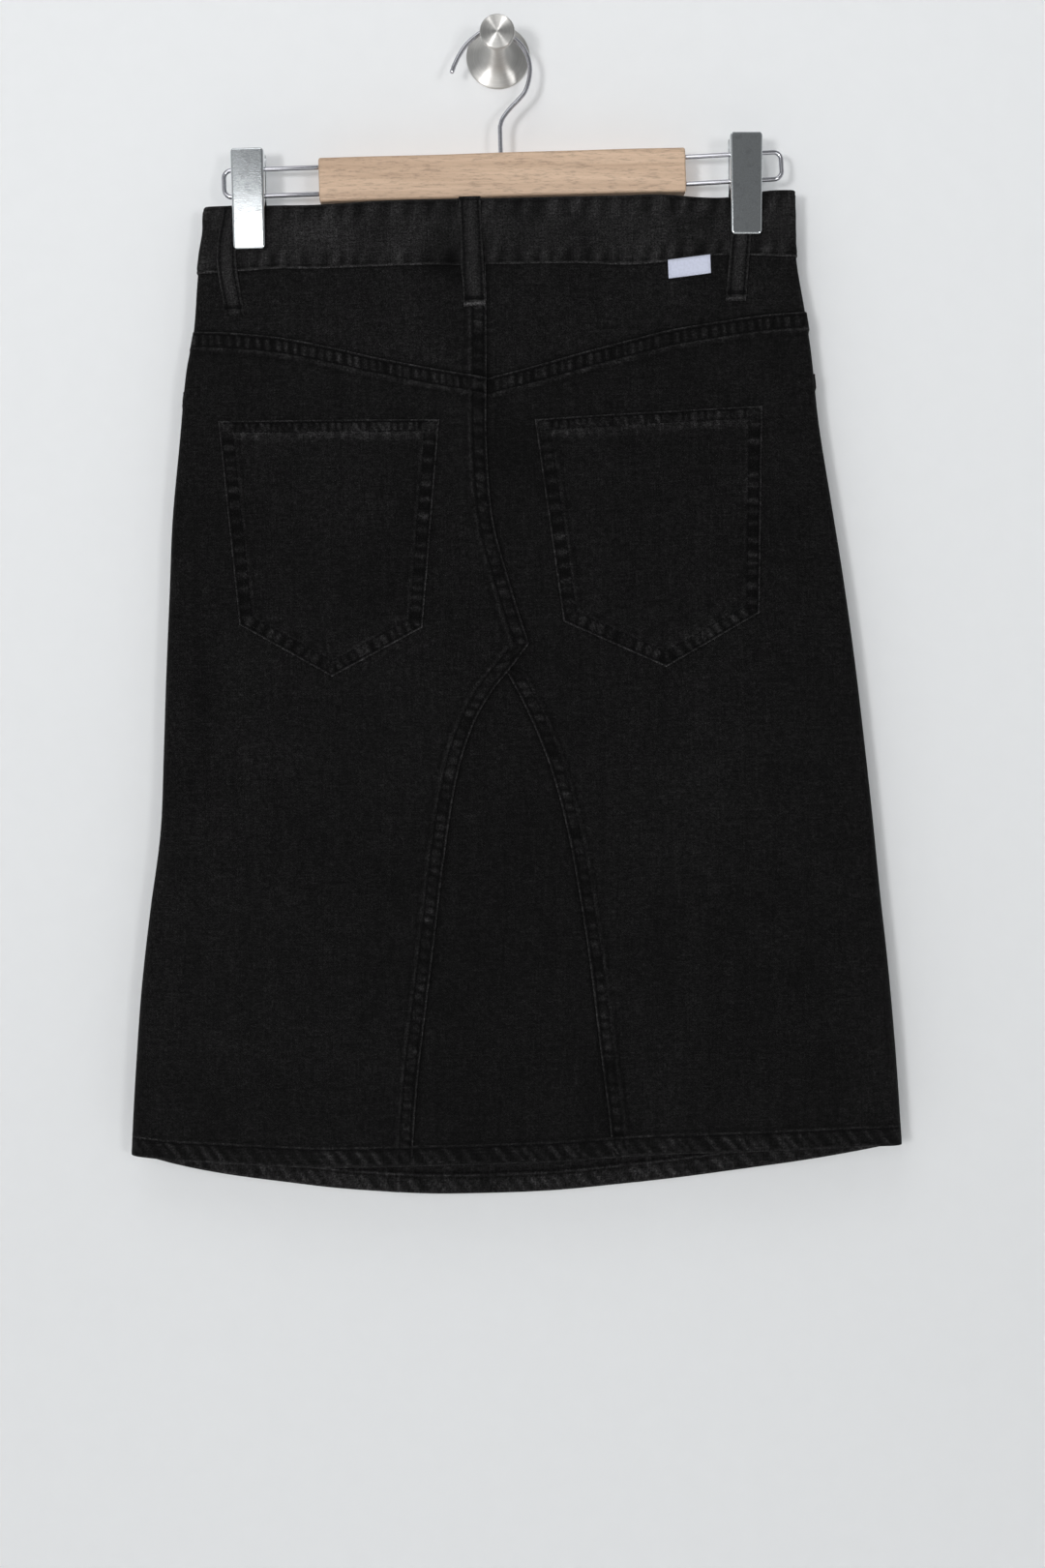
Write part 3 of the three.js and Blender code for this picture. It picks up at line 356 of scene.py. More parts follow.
def cloth_point(turn, down):
    is_back = np.abs(turn) <= 2
    along = np.where(is_back, turn, np.sign(turn) * 4 - turn)
    bend = np.maximum(0, np.abs(along) - 1) * (math.pi / 2)
    x = x_along(along, down)
    flat = np.cos(bend)
    shape = [swell(side, x, down) + flat * creased(side, x, down) for side in ("back", "front")]
    out = section("fold", down) * flat + np.where(is_back, shape[0], shape[1])
    return np.stack([x, np.where(is_back, -out, out), -np.asarray(down, float)], axis=-1)


def lifted_point(turn, down, lift):
    """A point moved out from the cloth's middle surface along its normal."""
    across = cloth_point(turn + 0.01, down) - cloth_point(turn - 0.01, down)
    along = cloth_point(turn, down + 1) - cloth_point(turn, down - 1)
    normal = np.cross(along, across)
    normal /= np.linalg.norm(normal, axis=-1, keepdims=True)
    return cloth_point(turn, down) + normal * np.asarray(lift)[..., None]


TILT = math.radians(TILT_DEGREES)
HOOK_DROP = HOOK_RADIUS - WIRE_RADIUS - NECK_RADIUS - SEAM_GAP
LEAN = math.asin(STEM_X / HOOK_DROP) - TILT
HOOK_CENTRE = (-HOOK_DROP * math.sin(LEAN), -WALL_TO_HANGER, -HOOK_DROP * math.cos(LEAN))


def placed(points):
    """Points of the level frame, in metres in the row's frame."""
    points = np.asarray(points, float)
    x, y, z = points[..., 0], points[..., 1], points[..., 2] - HOOK_ABOVE_WAIST
    turned = (x * math.cos(TILT) - z * math.sin(TILT), y, x * math.sin(TILT) + z * math.cos(TILT))
    return np.stack([t + c for t, c in zip(turned, HOOK_CENTRE)], axis=-1) / 1000


# Levels of the edges that run across
def share_across(x, down):
    return np.abs(x - middle_of(down)) / half_of(down)


def sag(x, down, power):
    return np.maximum(0, 1 - share_across(x, down) ** 2) ** power


def waist_top(side, x):
    return WAIST_TOP[0][1] + FRONT_DIP * sag(x, 0, 1.5) if side == "front" else smooth(WAIST_TOP, x)


def waist_seam(side, x):
    return waist_top("front", x) + WAISTBAND_HEIGHT + 0.5 if side == "front" else smooth(WAIST_SEAM, x)


def yoke_edge(x):
    return smooth(YOKE_EDGE, x)


def back_hem(x):
    return smooth(BACK_HEM, x)


def front_hem(x):
    return back_hem(x) + FRONT_HEM_DROP * sag(x, 600, 1)


def front_top(x):
    """The front pocket's mouth, a scoop from the waistband to the side seam."""
    level = POCKET_MOUTH["side_level"]
    reach = half_of(level) - POCKET_MOUTH["from"]
    share = np.clip((np.abs(x - middle_of(level)) - POCKET_MOUTH["from"]) / reach, 0, 1)
    return lerp(waist_seam("front", x), level, (1 - (1 - share) ** 2) ** POCKET_MOUTH["round"])


# Distances to a seam, and places along it
def down_seam(rows, sign):
    """A function that gives how far a point lies to the left (sign 1) or right (-1) of an upright seam."""
    levels = np.arange(0, 680, 1.0)
    edge = smooth(rows, levels)
    slope = np.gradient(edge)
    run = np.cumsum(np.hypot(1, slope))

    def measure(x, down):
        distance = sign * (np.interp(down, levels, edge) - x) / np.hypot(1, np.interp(down, levels, slope))
        return distance, np.interp(down, levels, run)

    return measure


def across_seam(edge):
    """For a seam that runs across: a function that gives how far a point lies below it."""
    places = np.arange(-270, 270, 1.0)
    levels = edge(places)
    slope = np.gradient(levels)
    run = np.cumsum(np.hypot(1, slope))

    def measure(x, down):
        distance = (down - np.interp(x, places, levels)) / np.hypot(1, np.interp(x, places, slope))
        return distance, np.interp(x, places, run)

    return measure


def round_edge(distance, radius=0.8):
    """How far a folded edge's face falls away near the edge."""
    inside = radius - np.clip(distance, 0, radius)
    return radius - np.sqrt(np.maximum(0, radius**2 - inside**2))


def felled(distance, along, look):
    """A doubly stitched band beside a folded edge: how far both faces and the outer one rise, and the colour
    multiplier.

    The multiplier is over 1 where wear rubbed the cloth pale, with a painted highlight on the folded edge,
    and under 1 as painted shade in the stitch grooves, between the crests and just past the band.
    """
    wide, rows, seed = look["wide"], look["rows"], look["seed"]
    beyond, soft, least, paler = look.get("below", (3, 3.5, 0.3, 0.5))
    on = smooth_step((distance + 0.6) / 0.6)
    both = look.get("lap", 1.35) * (1 - smooth_step((distance - wide + 1.2) / 3.2)) * on
    zone = smooth_step((distance - rows[0] + 0.1) / 1.2)
    zone = zone * (1 - smooth_step((distance - rows[1] + 1.3) / 1.3))
    slanted = along + look.get("slant", 0) * distance
    crest = crests(slanted, look["pitch"], seed, look.get("crest", 0.24), look.get("uneven", 0.25))
    swing = 0.78 + 0.22 * noise_line(along, 22, seed + 1)
    thread = sum(bell(distance - row, 0.8) for row in rows)
    ridge = bell(distance - wide + 0.4, 0.9)
    pull = (
        bell(distance - wide - beyond, soft) * (crests(along, look["pitch"] * 1.7, seed + 2, 0.35) - least)
    )
    rise = look.get("rise", 0) * (1 - smooth_step((distance - wide + 0.6) / 2.2))
    outer = rise + look["pucker"] * swing * zone * (crest - 0.3) - 0.45 * thread + 0.2 * ridge + 0.3 * pull
    outer = (outer - round_edge(distance)) * on
    strength = look.get("strength", 1)
    # Wear and painted highlight: the folded edge is made paler.
    rub_and_painted_light = (
        look.get("edge", 3.2) * bell(distance - 0.25, 0.6)
        * (0.68 + 0.32 * noise_line(along, 3.5, seed + 3))
    )
    worn = look.get("ridge", 1.5) * ridge * (0.55 + 0.45 * noise_line(along, 5, seed + 4))
    worn = worn + 3.1 * zone * crest * swing + paler * pull
    # Painted shade: darker stitch grooves, troughs between the crests, and a line just past the band.
    painted_shade = 0.7 * thread + 0.66 * zone * (1 - crest) + 0.35 * bell(distance - wide - 1.8, 1.5)
    wear_and_painted_light = 1 + on * (rub_and_painted_light + strength * (worn - painted_shade))
    return both, outer, wear_and_painted_light


def painted_edge_shade(distance, width=1.7, depth=0.6):
    """Painted shade on cloth that lies just under a neighbour's edge, at a distance away from that edge: a
    multiplier under 1, darkest at the edge.
    """
    return 1 - depth * bell(np.maximum(distance, 0), width)


def hem_band(distance, along, seed, height=HEM_HEIGHT):
    """A turned, stitched hem with the slanting ropes that washing leaves. distance is up from its edge."""
    inside = 1 - smooth_step((distance - height) / 1.6)
    rope = crests(along + 0.75 * distance, 8.6, seed, 0.24, 0.34)
    swing = 0.75 + 0.25 * noise_line(along, 40, seed + 1)
    zone = smooth_step((distance - 0.8) / 1.6) * (1 - smooth_step((distance - height + 3) / 2))
    thread = bell(distance - height + 1.4, 0.8)
    outer = (
        0.4 * inside + 0.75 * swing * zone * (rope - 0.3) - 0.4 * thread
        - 0.6 * round_edge(distance, 1.1)
    )
    above = bell(distance - height - 3, 4) * (crests(along, 12, seed + 2, 0.35) - 0.3)
    outer = outer + 0.3 * above
    edge = 2.6 * bell(distance - 0.4, 0.8) + 2.6 * bell(distance - height + 0.2, 0.6)
    worn = edge * (0.6 + 0.4 * noise_line(along, 4, seed + 3)) + 0.1 * zone + 3.1 * zone * rope * swing
    # Painted shade: a darker stitch groove, troughs between the ropes, and a line just above the hem.
    painted_shade = 0.7 * thread + 0.5 * zone * (1 - rope) + 0.4 * bell(distance - height - 1.4, 1)
    return outer, 1 + worn - painted_shade + 0.25 * above, inside


# Meshes
def mesh_object(name, vertices, faces, material, uv=None, wear_and_painted_light=None, smooth_angle=50):
    """A new object from points in metres. uv and the colour multiplier for wear and painted light are given
    per vertex.
    """
    mesh = bpy.data.meshes.new(name)
    mesh.from_pydata(
        np.asarray(vertices).tolist(), [], faces if isinstance(faces, list) else faces.tolist()
    )
    loops = np.empty(len(mesh.loops), int)
    mesh.loops.foreach_get("vertex_index", loops)
    if uv is not None:
        layer = mesh.uv_layers.new(name="cloth")
        layer.data.foreach_set("uv", np.asarray(uv, np.float32)[loops].ravel())
    if wear_and_painted_light is not None:
        # This attribute multiplies the cloth's colour: wear, with painted highlights and painted shade.
        mesh.attributes.new("wear_and_painted_light", "FLOAT", "POINT").data.foreach_set(
            "value", np.asarray(wear_and_painted_light, np.float32)
        )
    mesh.polygons.foreach_set("use_smooth", np.ones(len(mesh.polygons), bool))
    mesh.set_sharp_from_angle(angle=math.radians(smooth_angle))
    mesh.materials.append(material)
    mesh.update()
    piece = bpy.data.objects.new(name, mesh)
    bpy.context.scene.collection.objects.link(piece)
    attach(piece, "root")
    return piece


def wall_faces(rows, columns):
    """The faces of a closed wall: an outer grid, an inner one, and the rim between them."""
    at = np.arange(rows * columns).reshape(rows, columns)
    inner = at + rows * columns

    def quads(a, b, c, d):
        return np.stack([a.ravel(), b.ravel(), c.ravel(), d.ravel()], axis=1)

    return np.concatenate([
        quads(at[:-1, :-1], at[1:, :-1], at[1:, 1:], at[:-1, 1:]),
        quads(inner[:-1, :-1], inner[:-1, 1:], inner[1:, 1:], inner[1:, :-1]),
        quads(at[:-1, 0], inner[:-1, 0], inner[1:, 0], at[1:, 0]),
        quads(at[:-1, -1], at[1:, -1], inner[1:, -1], inner[:-1, -1]),
        quads(at[0, :-1], at[0, 1:], inner[0, 1:], inner[0, :-1]),
        quads(at[-1, :-1], inner[-1, :-1], inner[-1, 1:], at[-1, 1:]),
    ])


def ring_faces(count, sides, base=0):
    """The faces between rings of points that follow one another."""
    faces = []
    for ring in range(count - 1):
        for k in range(sides):
            a, b = base + ring * sides + k, base + ring * sides + (k + 1) % sides
            faces.append([a, b, b + sides, a + sides])
    return faces


def capped_rings(count, sides):
    last = (count - 1) * sides
    return ring_faces(count, sides) + [list(range(sides))[::-1], list(range(last, last + sides))]


def stands_for(piece, slot, *nodes):
    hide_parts(*nodes)
    return piece


def wall(name, side, turn, down, out, into, wear_and_painted_light_pair, run, material):
    """A closed wall of cloth from grids of its turn, level, and the heights and colour multipliers (wear and
    painted light) of its two faces.
    """
    grids = [turn, down, out, into, wear_and_painted_light_pair[0], wear_and_painted_light_pair[1], run]
    if side == "front":
        grids = [grid[:, ::-1] for grid in grids]
    turn, down, out, into, outer_wear_and_painted_light, inner_wear_and_painted_light, run = grids
    outer = lifted_point(turn, down, out)
    inner = lifted_point(turn, down, into)
    points = placed(np.concatenate([outer.reshape(-1, 3), inner.reshape(-1, 3)]))
    uv = np.stack([np.tile(run.ravel(), 2), np.tile(-down.ravel(), 2)], axis=1) / 1000
    wear_and_painted_light = np.concatenate([outer_wear_and_painted_light.ravel(), inner_wear_and_painted_light.ravel()])
    return mesh_object(name, points, wall_faces(*turn.shape), material, uv, wear_and_painted_light)


EDGE_STEPS = np.array([0, 0.12, 0.4, 0.8, 1.5, 2.3, 3.3, 4.6, 6, 7.4, 8.7, 9.8, 11, 12.4, 14])


def across_steps(start, end, step, left_fine, right_fine):
    """Places from start to end (columns of rows), close together beside an edge that shows."""
    width = end - start
    near = EDGE_STEPS[None, :] * np.minimum(1, width / (3 * EDGE_STEPS[-1]))[:, None]
    parts = []
    inner_start, inner_end = start, end
    if left_fine:
        parts.append(start[:, None] + near)
        inner_start = start + near[:, -1]
    if right_fine:
        inner_end = end - near[:, -1]
    count = max(4, int(np.max(inner_end - inner_start) / step))
    inner = np.linspace(inner_start, inner_end, count + 1, axis=1)
    parts.append(inner[:, 1:] if left_fine else inner)
    if right_fine:
        parts.append((end[:, None] - near)[:, ::-1][:, 1:])
    return np.concatenate(parts, axis=1)


def row_steps(length, top_fine, hem, step=3.0):
    """Distances down a piece, close together beside its top edge and in its hem."""
    start = EDGE_STEPS if top_fine else np.array([0.0])
    hem_rows = length - np.array(
        [18, 16, 14.5, 13.3, 12.5, 11.8, 11.1, 10.3, 9, 7.6, 6.2, 4.8, 3.4, 2.2, 1.3, 0.6, 0.2, 0]
    )
    end = hem_rows if hem else np.array([float(length)])
    count = max(2, int((end[0] - start[-1]) / step))
    return np.concatenate([start, np.linspace(start[-1], end[0], count + 1)[1:-1], end])


def cut_piece(name, side, top, foot, dress, material, left=None, right=None, step=1.8, row_step=3.0,
              top_fine=False, hem=False, left_fine=False, right_fine=False, from_level=-100.0):
    """A cut piece of one face of the skirt, between the levels top(x) and foot(x) and two upright edges.

    dress(x, down) gives how far both faces rise, how far the outer and the inner one do, and their colour
    multipliers for wear and painted light.
    An edge that is left out is a side fold.
    """
    samples = np.linspace(-180, 180, 19)
    length = float(np.max(foot(samples) - top(samples)))
    rows = row_steps(length, top_fine, hem, row_step)

    def level(x, row):
        above, below = top(x), foot(x)
        keep = 20.0
        if not (top_fine or hem):
            return lerp(above, below, row / length)
        inner = lerp(above + keep, below - keep, np.clip((row - keep) / (length - 2 * keep), 0, 1))
        return np.where(
            row < keep, above + row, np.where(row > length - keep, below - (length - row), inner)
        )

    rows = rows[level(0 * rows, rows) >= from_level]

    def end(edge, sign):
        down = level(np.zeros(len(rows)), rows)
        for _ in range(16):
            if edge is None:
                x = x_along(sign * 2.0, down)
            else:
                x = edge(down)
            down = lerp(down, level(x, rows), 0.8)
        if edge is None:
            fold = section("fold", down)
            return sign * (half_of(down) - fold + fold * math.pi / 2 - 0.05)
        return x - middle_of(down)

    run = across_steps(end(left, -1), end(right, 1), step, left_fine, right_fine)
    row = np.repeat(rows[:, None], run.shape[1], axis=1)
    down = level(run, row)
    for _ in range(10):
        along = along_of_run(run, down)
        down = level(x_along(along, down), row)
    x = x_along(along, down)
    both, outer, inner, wear_and_painted_light, inner_wear_and_painted_light = dress(x, down)
    from_fold = half_of(down) - np.abs(x - middle_of(down))
    calm = smooth_step(from_fold / 7)
    lapped = np.where(x > middle_of(down), 0.85, 0.4)
    both, outer = both * lerp(lapped, 1, calm), outer * lerp(0.25, 1, calm)
    if side == "back":
        rub_and_painted_light = bell(from_fold, 1.6) * (0.6 + 0.4 * noise_line(down, 14, 61))
        wear_and_painted_light = wear_and_painted_light * wear_and_painted_shade(x, down) + rub_and_painted_light
    turn = turn_of(side, along)
    heights = (DENIM / 2 + both + outer, -DENIM / 2 + both + inner)
    return wall(name, side, turn, down, *heights, (wear_and_painted_light, inner_wear_and_painted_light), run, material)


# Stitches
STITCH_PITCH = 3.3
STITCH_LENGTH = 2.5
STITCH_HALF_WIDTH = 0.36
STITCH_RING = [(math.cos(a), math.sin(a)) for a in np.arange(5) * math.tau / 5]
STITCH_STATIONS = ((-0.5, 0.35, -0.15), (-0.28, 0.95, 0.12), (0.28, 0.95, 0.12), (0.5, 0.35, -0.15))


def spaced_along(points, pitch):
    """Places at an even pitch along a polyline, and the polyline's direction there."""
    points = np.asarray(points, float)
    lengths = np.concatenate([[0], np.cumsum(np.linalg.norm(np.diff(points, axis=0), axis=1))])
    at = np.arange(pitch / 2, lengths[-1], pitch)
    ends = [
        np.stack([np.interp(at + shift, lengths, points[:, k]) for k in range(points.shape[1])], axis=1)
        for shift in (-0.5, 0, 0.5)
    ]
    return ends[1], ends[2] - ends[0]


class Seamstress:
    """Gathers the stitches of the rows that are sewn through one piece, and makes them one object."""

    def __init__(self, name, side):
        self.name, self.side = name, side
        self.vertices, self.faces = [], []

    def sew(
        self, path, height, pitch=STITCH_PITCH, length=STITCH_LENGTH, half_width=STITCH_HALF_WIDTH,
        turned=0.0
    ):
        """path lists (x, down). height(x, down) is the height of the face that is sewn."""
        middle, direction = spaced_along(path, pitch)
        if turned:
            c, s = math.cos(turned), math.sin(turned)
            direction = np.stack(
                [c * direction[:, 0] - s * direction[:, 1], s * direction[:, 0] + c * direction[:, 1]],
                axis=1
            )
        direction /= np.linalg.norm(direction, axis=1, keepdims=True)

        def on_cloth(shift, lift):
            x, down = (middle + direction * shift).T
            return lifted_point(turn_at(self.side, x, down), down, lift + height(x, down))

        centre = on_cloth(0, 0)
        forward = on_cloth(0.5, 0) - on_cloth(-0.5, 0)
        upward = on_cloth(0, 1) - centre
        sideways = np.cross(forward, upward)
        for axis in (forward, upward, sideways):
            axis /= np.linalg.norm(axis, axis=1, keepdims=True)
        rings = []
        for along, size, lift in STITCH_STATIONS:
            for c, s in STITCH_RING:
                rings.append(
                    centre + forward * (along * length) + sideways * (c * half_width * size)
                    + upward * (s * half_width * 0.8 * size + lift)
                )
        count, sides, stations = len(centre), len(STITCH_RING), len(STITCH_STATIONS)
        base = sum(len(v) for v in self.vertices)
        self.vertices.append(np.stack(rings, axis=1).reshape(-1, 3))
        template = ring_faces(stations, sides)
        starts = base + np.arange(count) * sides * stations
        self.faces += (np.array(template)[None] + starts[:, None, None]).reshape(-1, 4).tolist()
        for first, flip in ((0, -1), ((stations - 1) * sides, 1)):
            cap = np.array([first + k for k in range(sides)][::flip])
            self.faces += (cap[None] + starts[:, None]).tolist()

    def finish(self, material):
        return mesh_object(self.name, placed(np.concatenate(self.vertices)), self.faces, material)


# Materials
class Nodes:
    """The node tree of a material or of the world, built by short calls."""

    def __init__(self, name, shader="Principled BSDF"):
        kind = bpy.data.worlds if shader == "Background" else bpy.data.materials
        self.material = kind.new(name)
        self.material.use_nodes = True
        self.tree = self.material.node_tree
        self.shader = self.tree.nodes[shader]

    def add(self, kind, settings=None, **inputs):
        node = self.tree.nodes.new(kind)
        for key, value in (settings or {}).items():
            setattr(node, key, value)
        for key, value in inputs.items():
            self.put(node.inputs[key.replace("_", " ")], value)
        return node

    def put(self, socket, value):
        if isinstance(value, bpy.types.NodeSocket):
            self.tree.links.new(value, socket)
        else:
            socket.default_value = value

    def set(self, **inputs):
        for key, value in inputs.items():
            self.put(self.shader.inputs[key.replace("_", " ")], value)

    def math(self, operation, a, b=0.0):
        node = self.tree.nodes.new("ShaderNodeMath")
        node.operation = operation
        self.put(node.inputs[0], a)
        self.put(node.inputs[1], b)
        return node.outputs[0]

    def spread(self, value, low, high, to_low=0.0, to_high=1.0):
        node = self.add("ShaderNodeMapRange")
        for k, item in enumerate((value, low, high, to_low, to_high)):
            self.put(node.inputs[k], item)
        return node.outputs[0]

    def noise(self, vector, scale, detail=2.0, rough=0.5):
        node = self.add("ShaderNodeTexNoise", Vector=vector, Scale=scale, Detail=detail, Roughness=rough)
        return node.outputs[0]

    def scaled(self, vector, scale, turn=0.0):
        return self.add("ShaderNodeMapping", Vector=vector, Scale=scale, Rotation=(0, 0, turn)).outputs[0]

    def tinted(self, colour, amount):
        """A colour multiplied by a varying amount."""
        node = self.add("ShaderNodeVectorMath", {"operation": "SCALE"}, Scale=amount)
        node.inputs[0].default_value = colour
        return node.outputs[0]

    def bump(self, height, strength, distance, normal=None):
        node = self.add("ShaderNodeBump", Height=height, Strength=strength, Distance=distance)
        if normal is not None:
            self.put(node.inputs["Normal"], normal)
        return node.outputs[0]


def denim_material(name, shade, mottle=1.0):
    """Washed black twill: a diagonal rib, slubs along the warp, speckle and soft blotches, times the mesh's
    colour multiplier, which holds rubbed edges with painted highlights, and painted shade in grooves and
    under edges.
    """
    n = Nodes(name)
    cloth = n.add("ShaderNodeUVMap", {"uv_map": "cloth"}).outputs[0]
    place = n.add("ShaderNodeTexCoord").outputs["Object"]
    twill = n.add(
        "ShaderNodeTexWave", {"wave_type": "BANDS", "bands_direction": "X"},
        Vector=n.scaled(cloth, (1, 1, 1), math.radians(58)), Scale=330.0,
        Distortion=1.6, Detail=2.0, Detail_Scale=2.0,
    ).outputs[1]
    slub = n.noise(n.scaled(cloth, (1100, 55, 1)), 1.0, 3.0, 0.6)
    speckle = n.noise(cloth, 900.0, 2.0, 0.7)
    grain = n.noise(cloth, 330.0, 3.0, 0.65)
    layers = [
        (twill, 0.0, 1.0, 0.14), (slub, 0.36, 0.64, 0.22), (speckle, 0.36, 0.64, 0.66),
        (grain, 0.36, 0.64, 0.52 * mottle),
        (n.noise(n.scaled(cloth, (60, 1000, 1)), 1.0, 2.0, 0.6), 0.36, 0.64, 0.2),
        (n.noise(n.scaled(cloth, (190, 9, 1)), 1.0, 2.0, 0.6), 0.36, 0.64, 0.1),
        (n.noise(cloth, 120.0, 3.0, 0.65), 0.36, 0.64, 0.16 * mottle),
        (n.noise(place, 26.0, 3.0, 0.55), 0.36, 0.64, 0.11),
        (n.noise(place, 7.0, 2.0, 0.5), 0.38, 0.62, 0.06),
    ]
    amount = n.spread(layers[0][0], *layers[0][1:3], 1 - layers[0][3], 1 + layers[0][3])
    for value, low, high, swing in layers[1:]:
        amount = n.math("MULTIPLY", amount, n.spread(value, low, high, 1 - swing, 1 + swing))
    # The mesh's colour multiplier: wear, with painted highlights and painted shade.
    wear_and_painted_light = n.add("ShaderNodeAttribute", {"attribute_name": "wear_and_painted_light"}).outputs["Fac"]
    rub_and_painted_light = n.math("MULTIPLY", wear_and_painted_light, amount)
    n.set(Base_Color=n.tinted(tuple(0.0049 * shade * c for c in (1.03, 1.0, 1.02)), rub_and_painted_light))
    n.set(Roughness=n.spread(grain, 0.3, 0.7, 0.82, 0.96))
    n.set(Specular_IOR_Level=0.09, Sheen_Weight=0.012, Sheen_Roughness=0.5)
    ribs = n.bump(twill, 0.35, 0.00025)
    n.set(Normal=n.bump(n.math("ADD", grain, slub), 0.45, 0.00035, ribs))
    return n.material


def thread_material():
    n = Nodes("black_thread")
    place = n.add("ShaderNodeTexCoord").outputs["Object"]
    ply = n.noise(place, 2500.0, 1.0)
    n.set(Base_Color=n.tinted((0.0028, 0.0028, 0.003), n.spread(ply, 0.3, 0.7, 0.6, 1.5)))
    n.set(
        Roughness=n.spread(ply, 0.3, 0.7, 0.7, 0.9), Specular_IOR_Level=0.06,
        Normal=n.bump(ply, 0.5, 0.0001)
    )
    return n.material


def tab_material():
    """Plain woven ribbon."""
    n = Nodes("woven_ribbon")
    cloth = n.add("ShaderNodeUVMap", {"uv_map": "cloth"}).outputs[0]
    rib = n.add(
        "ShaderNodeTexWave", {"wave_type": "BANDS", "bands_direction": "Y"}, Vector=cloth, Scale=520.0,
        Distortion=0.6,
    ).outputs[1]
    grain = n.noise(cloth, 700.0, 2.0)
    amount = n.math("MULTIPLY", n.spread(rib, 0, 1, 0.93, 1.04), n.spread(grain, 0.3, 0.7, 0.93, 1.05))
    wear_and_painted_light = n.add("ShaderNodeAttribute", {"attribute_name": "wear_and_painted_light"}).outputs["Fac"]
    n.set(Base_Color=n.tinted((0.63, 0.66, 0.8), n.math("MULTIPLY", wear_and_painted_light, amount)))
    n.set(Roughness=n.spread(grain, 0.3, 0.7, 0.55, 0.75), Specular_IOR_Level=0.3, Sheen_Weight=0.1)
    n.set(Normal=n.bump(rib, 0.4, 0.0002))
    return n.material


def metal_material(name, colour, rough, scratch=(40, 40, 900), specks=0.0, bump=0.12):
    """Drawn or pressed metal with fine scratches along its working direction and small dull specks."""
    n = Nodes(name)
    place = n.add("ShaderNodeTexCoord").outputs["Object"]
    lines = n.noise(n.scaled(place, scratch), 1.0, 3.0, 0.6)
    stain = n.noise(place, 160.0, 3.0, 0.6)
    dull = n.spread(stain, 0.56, 0.68, 1.0, 1.0 - specks)
    n.set(Base_Color=n.tinted(colour, n.math("MULTIPLY", n.spread(lines, 0.3, 0.7, 0.9, 1.06), dull)))
    rough_map = n.spread(lines, 0.3, 0.7, rough * 0.7, rough * 1.35)
    n.set(Metallic=1.0, Roughness=n.math("ADD", rough_map, n.spread(stain, 0.56, 0.7, 0.0, 0.3 * specks)))
    n.set(Normal=n.bump(lines, bump, 0.0001))
    return n.material


def knob_material():
    """Spun steel: rings about the knob's axis, with a finish that changes round it."""
    n = Nodes("spun_steel")
    place = n.add("ShaderNodeTexCoord").outputs["Object"]
    parts = n.add("ShaderNodeSeparateXYZ", Vector=place)
    x, z = parts.outputs["X"], parts.outputs["Z"]
    radius = n.math("SQRT", n.math("ADD", n.math("MULTIPLY", x, x), n.math("MULTIPLY", z, z)))
    ring_at = n.add("ShaderNodeCombineXYZ", X=radius, Y=parts.outputs["Y"]).outputs[0]
    rings = n.noise(n.scaled(ring_at, (2600, 900, 1)), 1.0, 2.0, 0.7)
    stain = n.noise(place, 90.0, 2.0)
    n.set(Base_Color=n.tinted((0.6, 0.59, 0.57), n.spread(rings, 0.3, 0.7, 0.85, 1.15)))
    n.set(
        Metallic=1.0,
        Roughness=n.math("ADD", n.spread(rings, 0.3, 0.7, 0.3, 0.4), n.spread(stain, 0.4, 0.7, 0, 0.05))
    )
    about = n.add("ShaderNodeTangent", {"direction_type": "RADIAL", "axis": "Y"}).outputs[0]
    n.set(Anisotropic=1.0, Anisotropic_Rotation=0.25, Tangent=about, Normal=n.bump(rings, 0.04, 0.00005))
    return n.material


def wood_material():
    """Pale beech: long grain along the bar, fine pores, and a thin matt varnish."""
    n = Nodes("pale_beech")
    place = n.add("ShaderNodeTexCoord").outputs["Object"]
    long_grain = n.noise(n.scaled(place, (9, 240, 300)), 1.0, 4.0, 0.6)
    pores = n.noise(n.scaled(place, (150, 1000, 1000)), 1.0, 3.0, 0.65)
    broad = n.noise(n.scaled(place, (5, 30, 60)), 1.0, 2.0)
    mix = n.math("ADD", n.math("MULTIPLY", long_grain, 0.6), n.math("MULTIPLY", broad, 0.4))
    ramp = n.add("ShaderNodeValToRGB", Fac=n.spread(mix, 0.32, 0.68))
    ramp.color_ramp.elements[0].color = (0.446, 0.302, 0.204, 1)
    ramp.color_ramp.elements[1].color = (0.693, 0.506, 0.367, 1)
    dots = n.spread(pores, 0.5, 0.68, 1.05, 0.72)
    shade = n.add("ShaderNodeVectorMath", {"operation": "SCALE"}, Scale=dots)
    n.put(shade.inputs[0], ramp.outputs[0])
    n.set(
        Base_Color=shade.outputs[0], Roughness=n.spread(long_grain, 0.3, 0.7, 0.42, 0.58),
        Specular_IOR_Level=0.4
    )
    n.set(Normal=n.bump(n.math("ADD", long_grain, pores), 0.12, 0.0002))
    return n.material


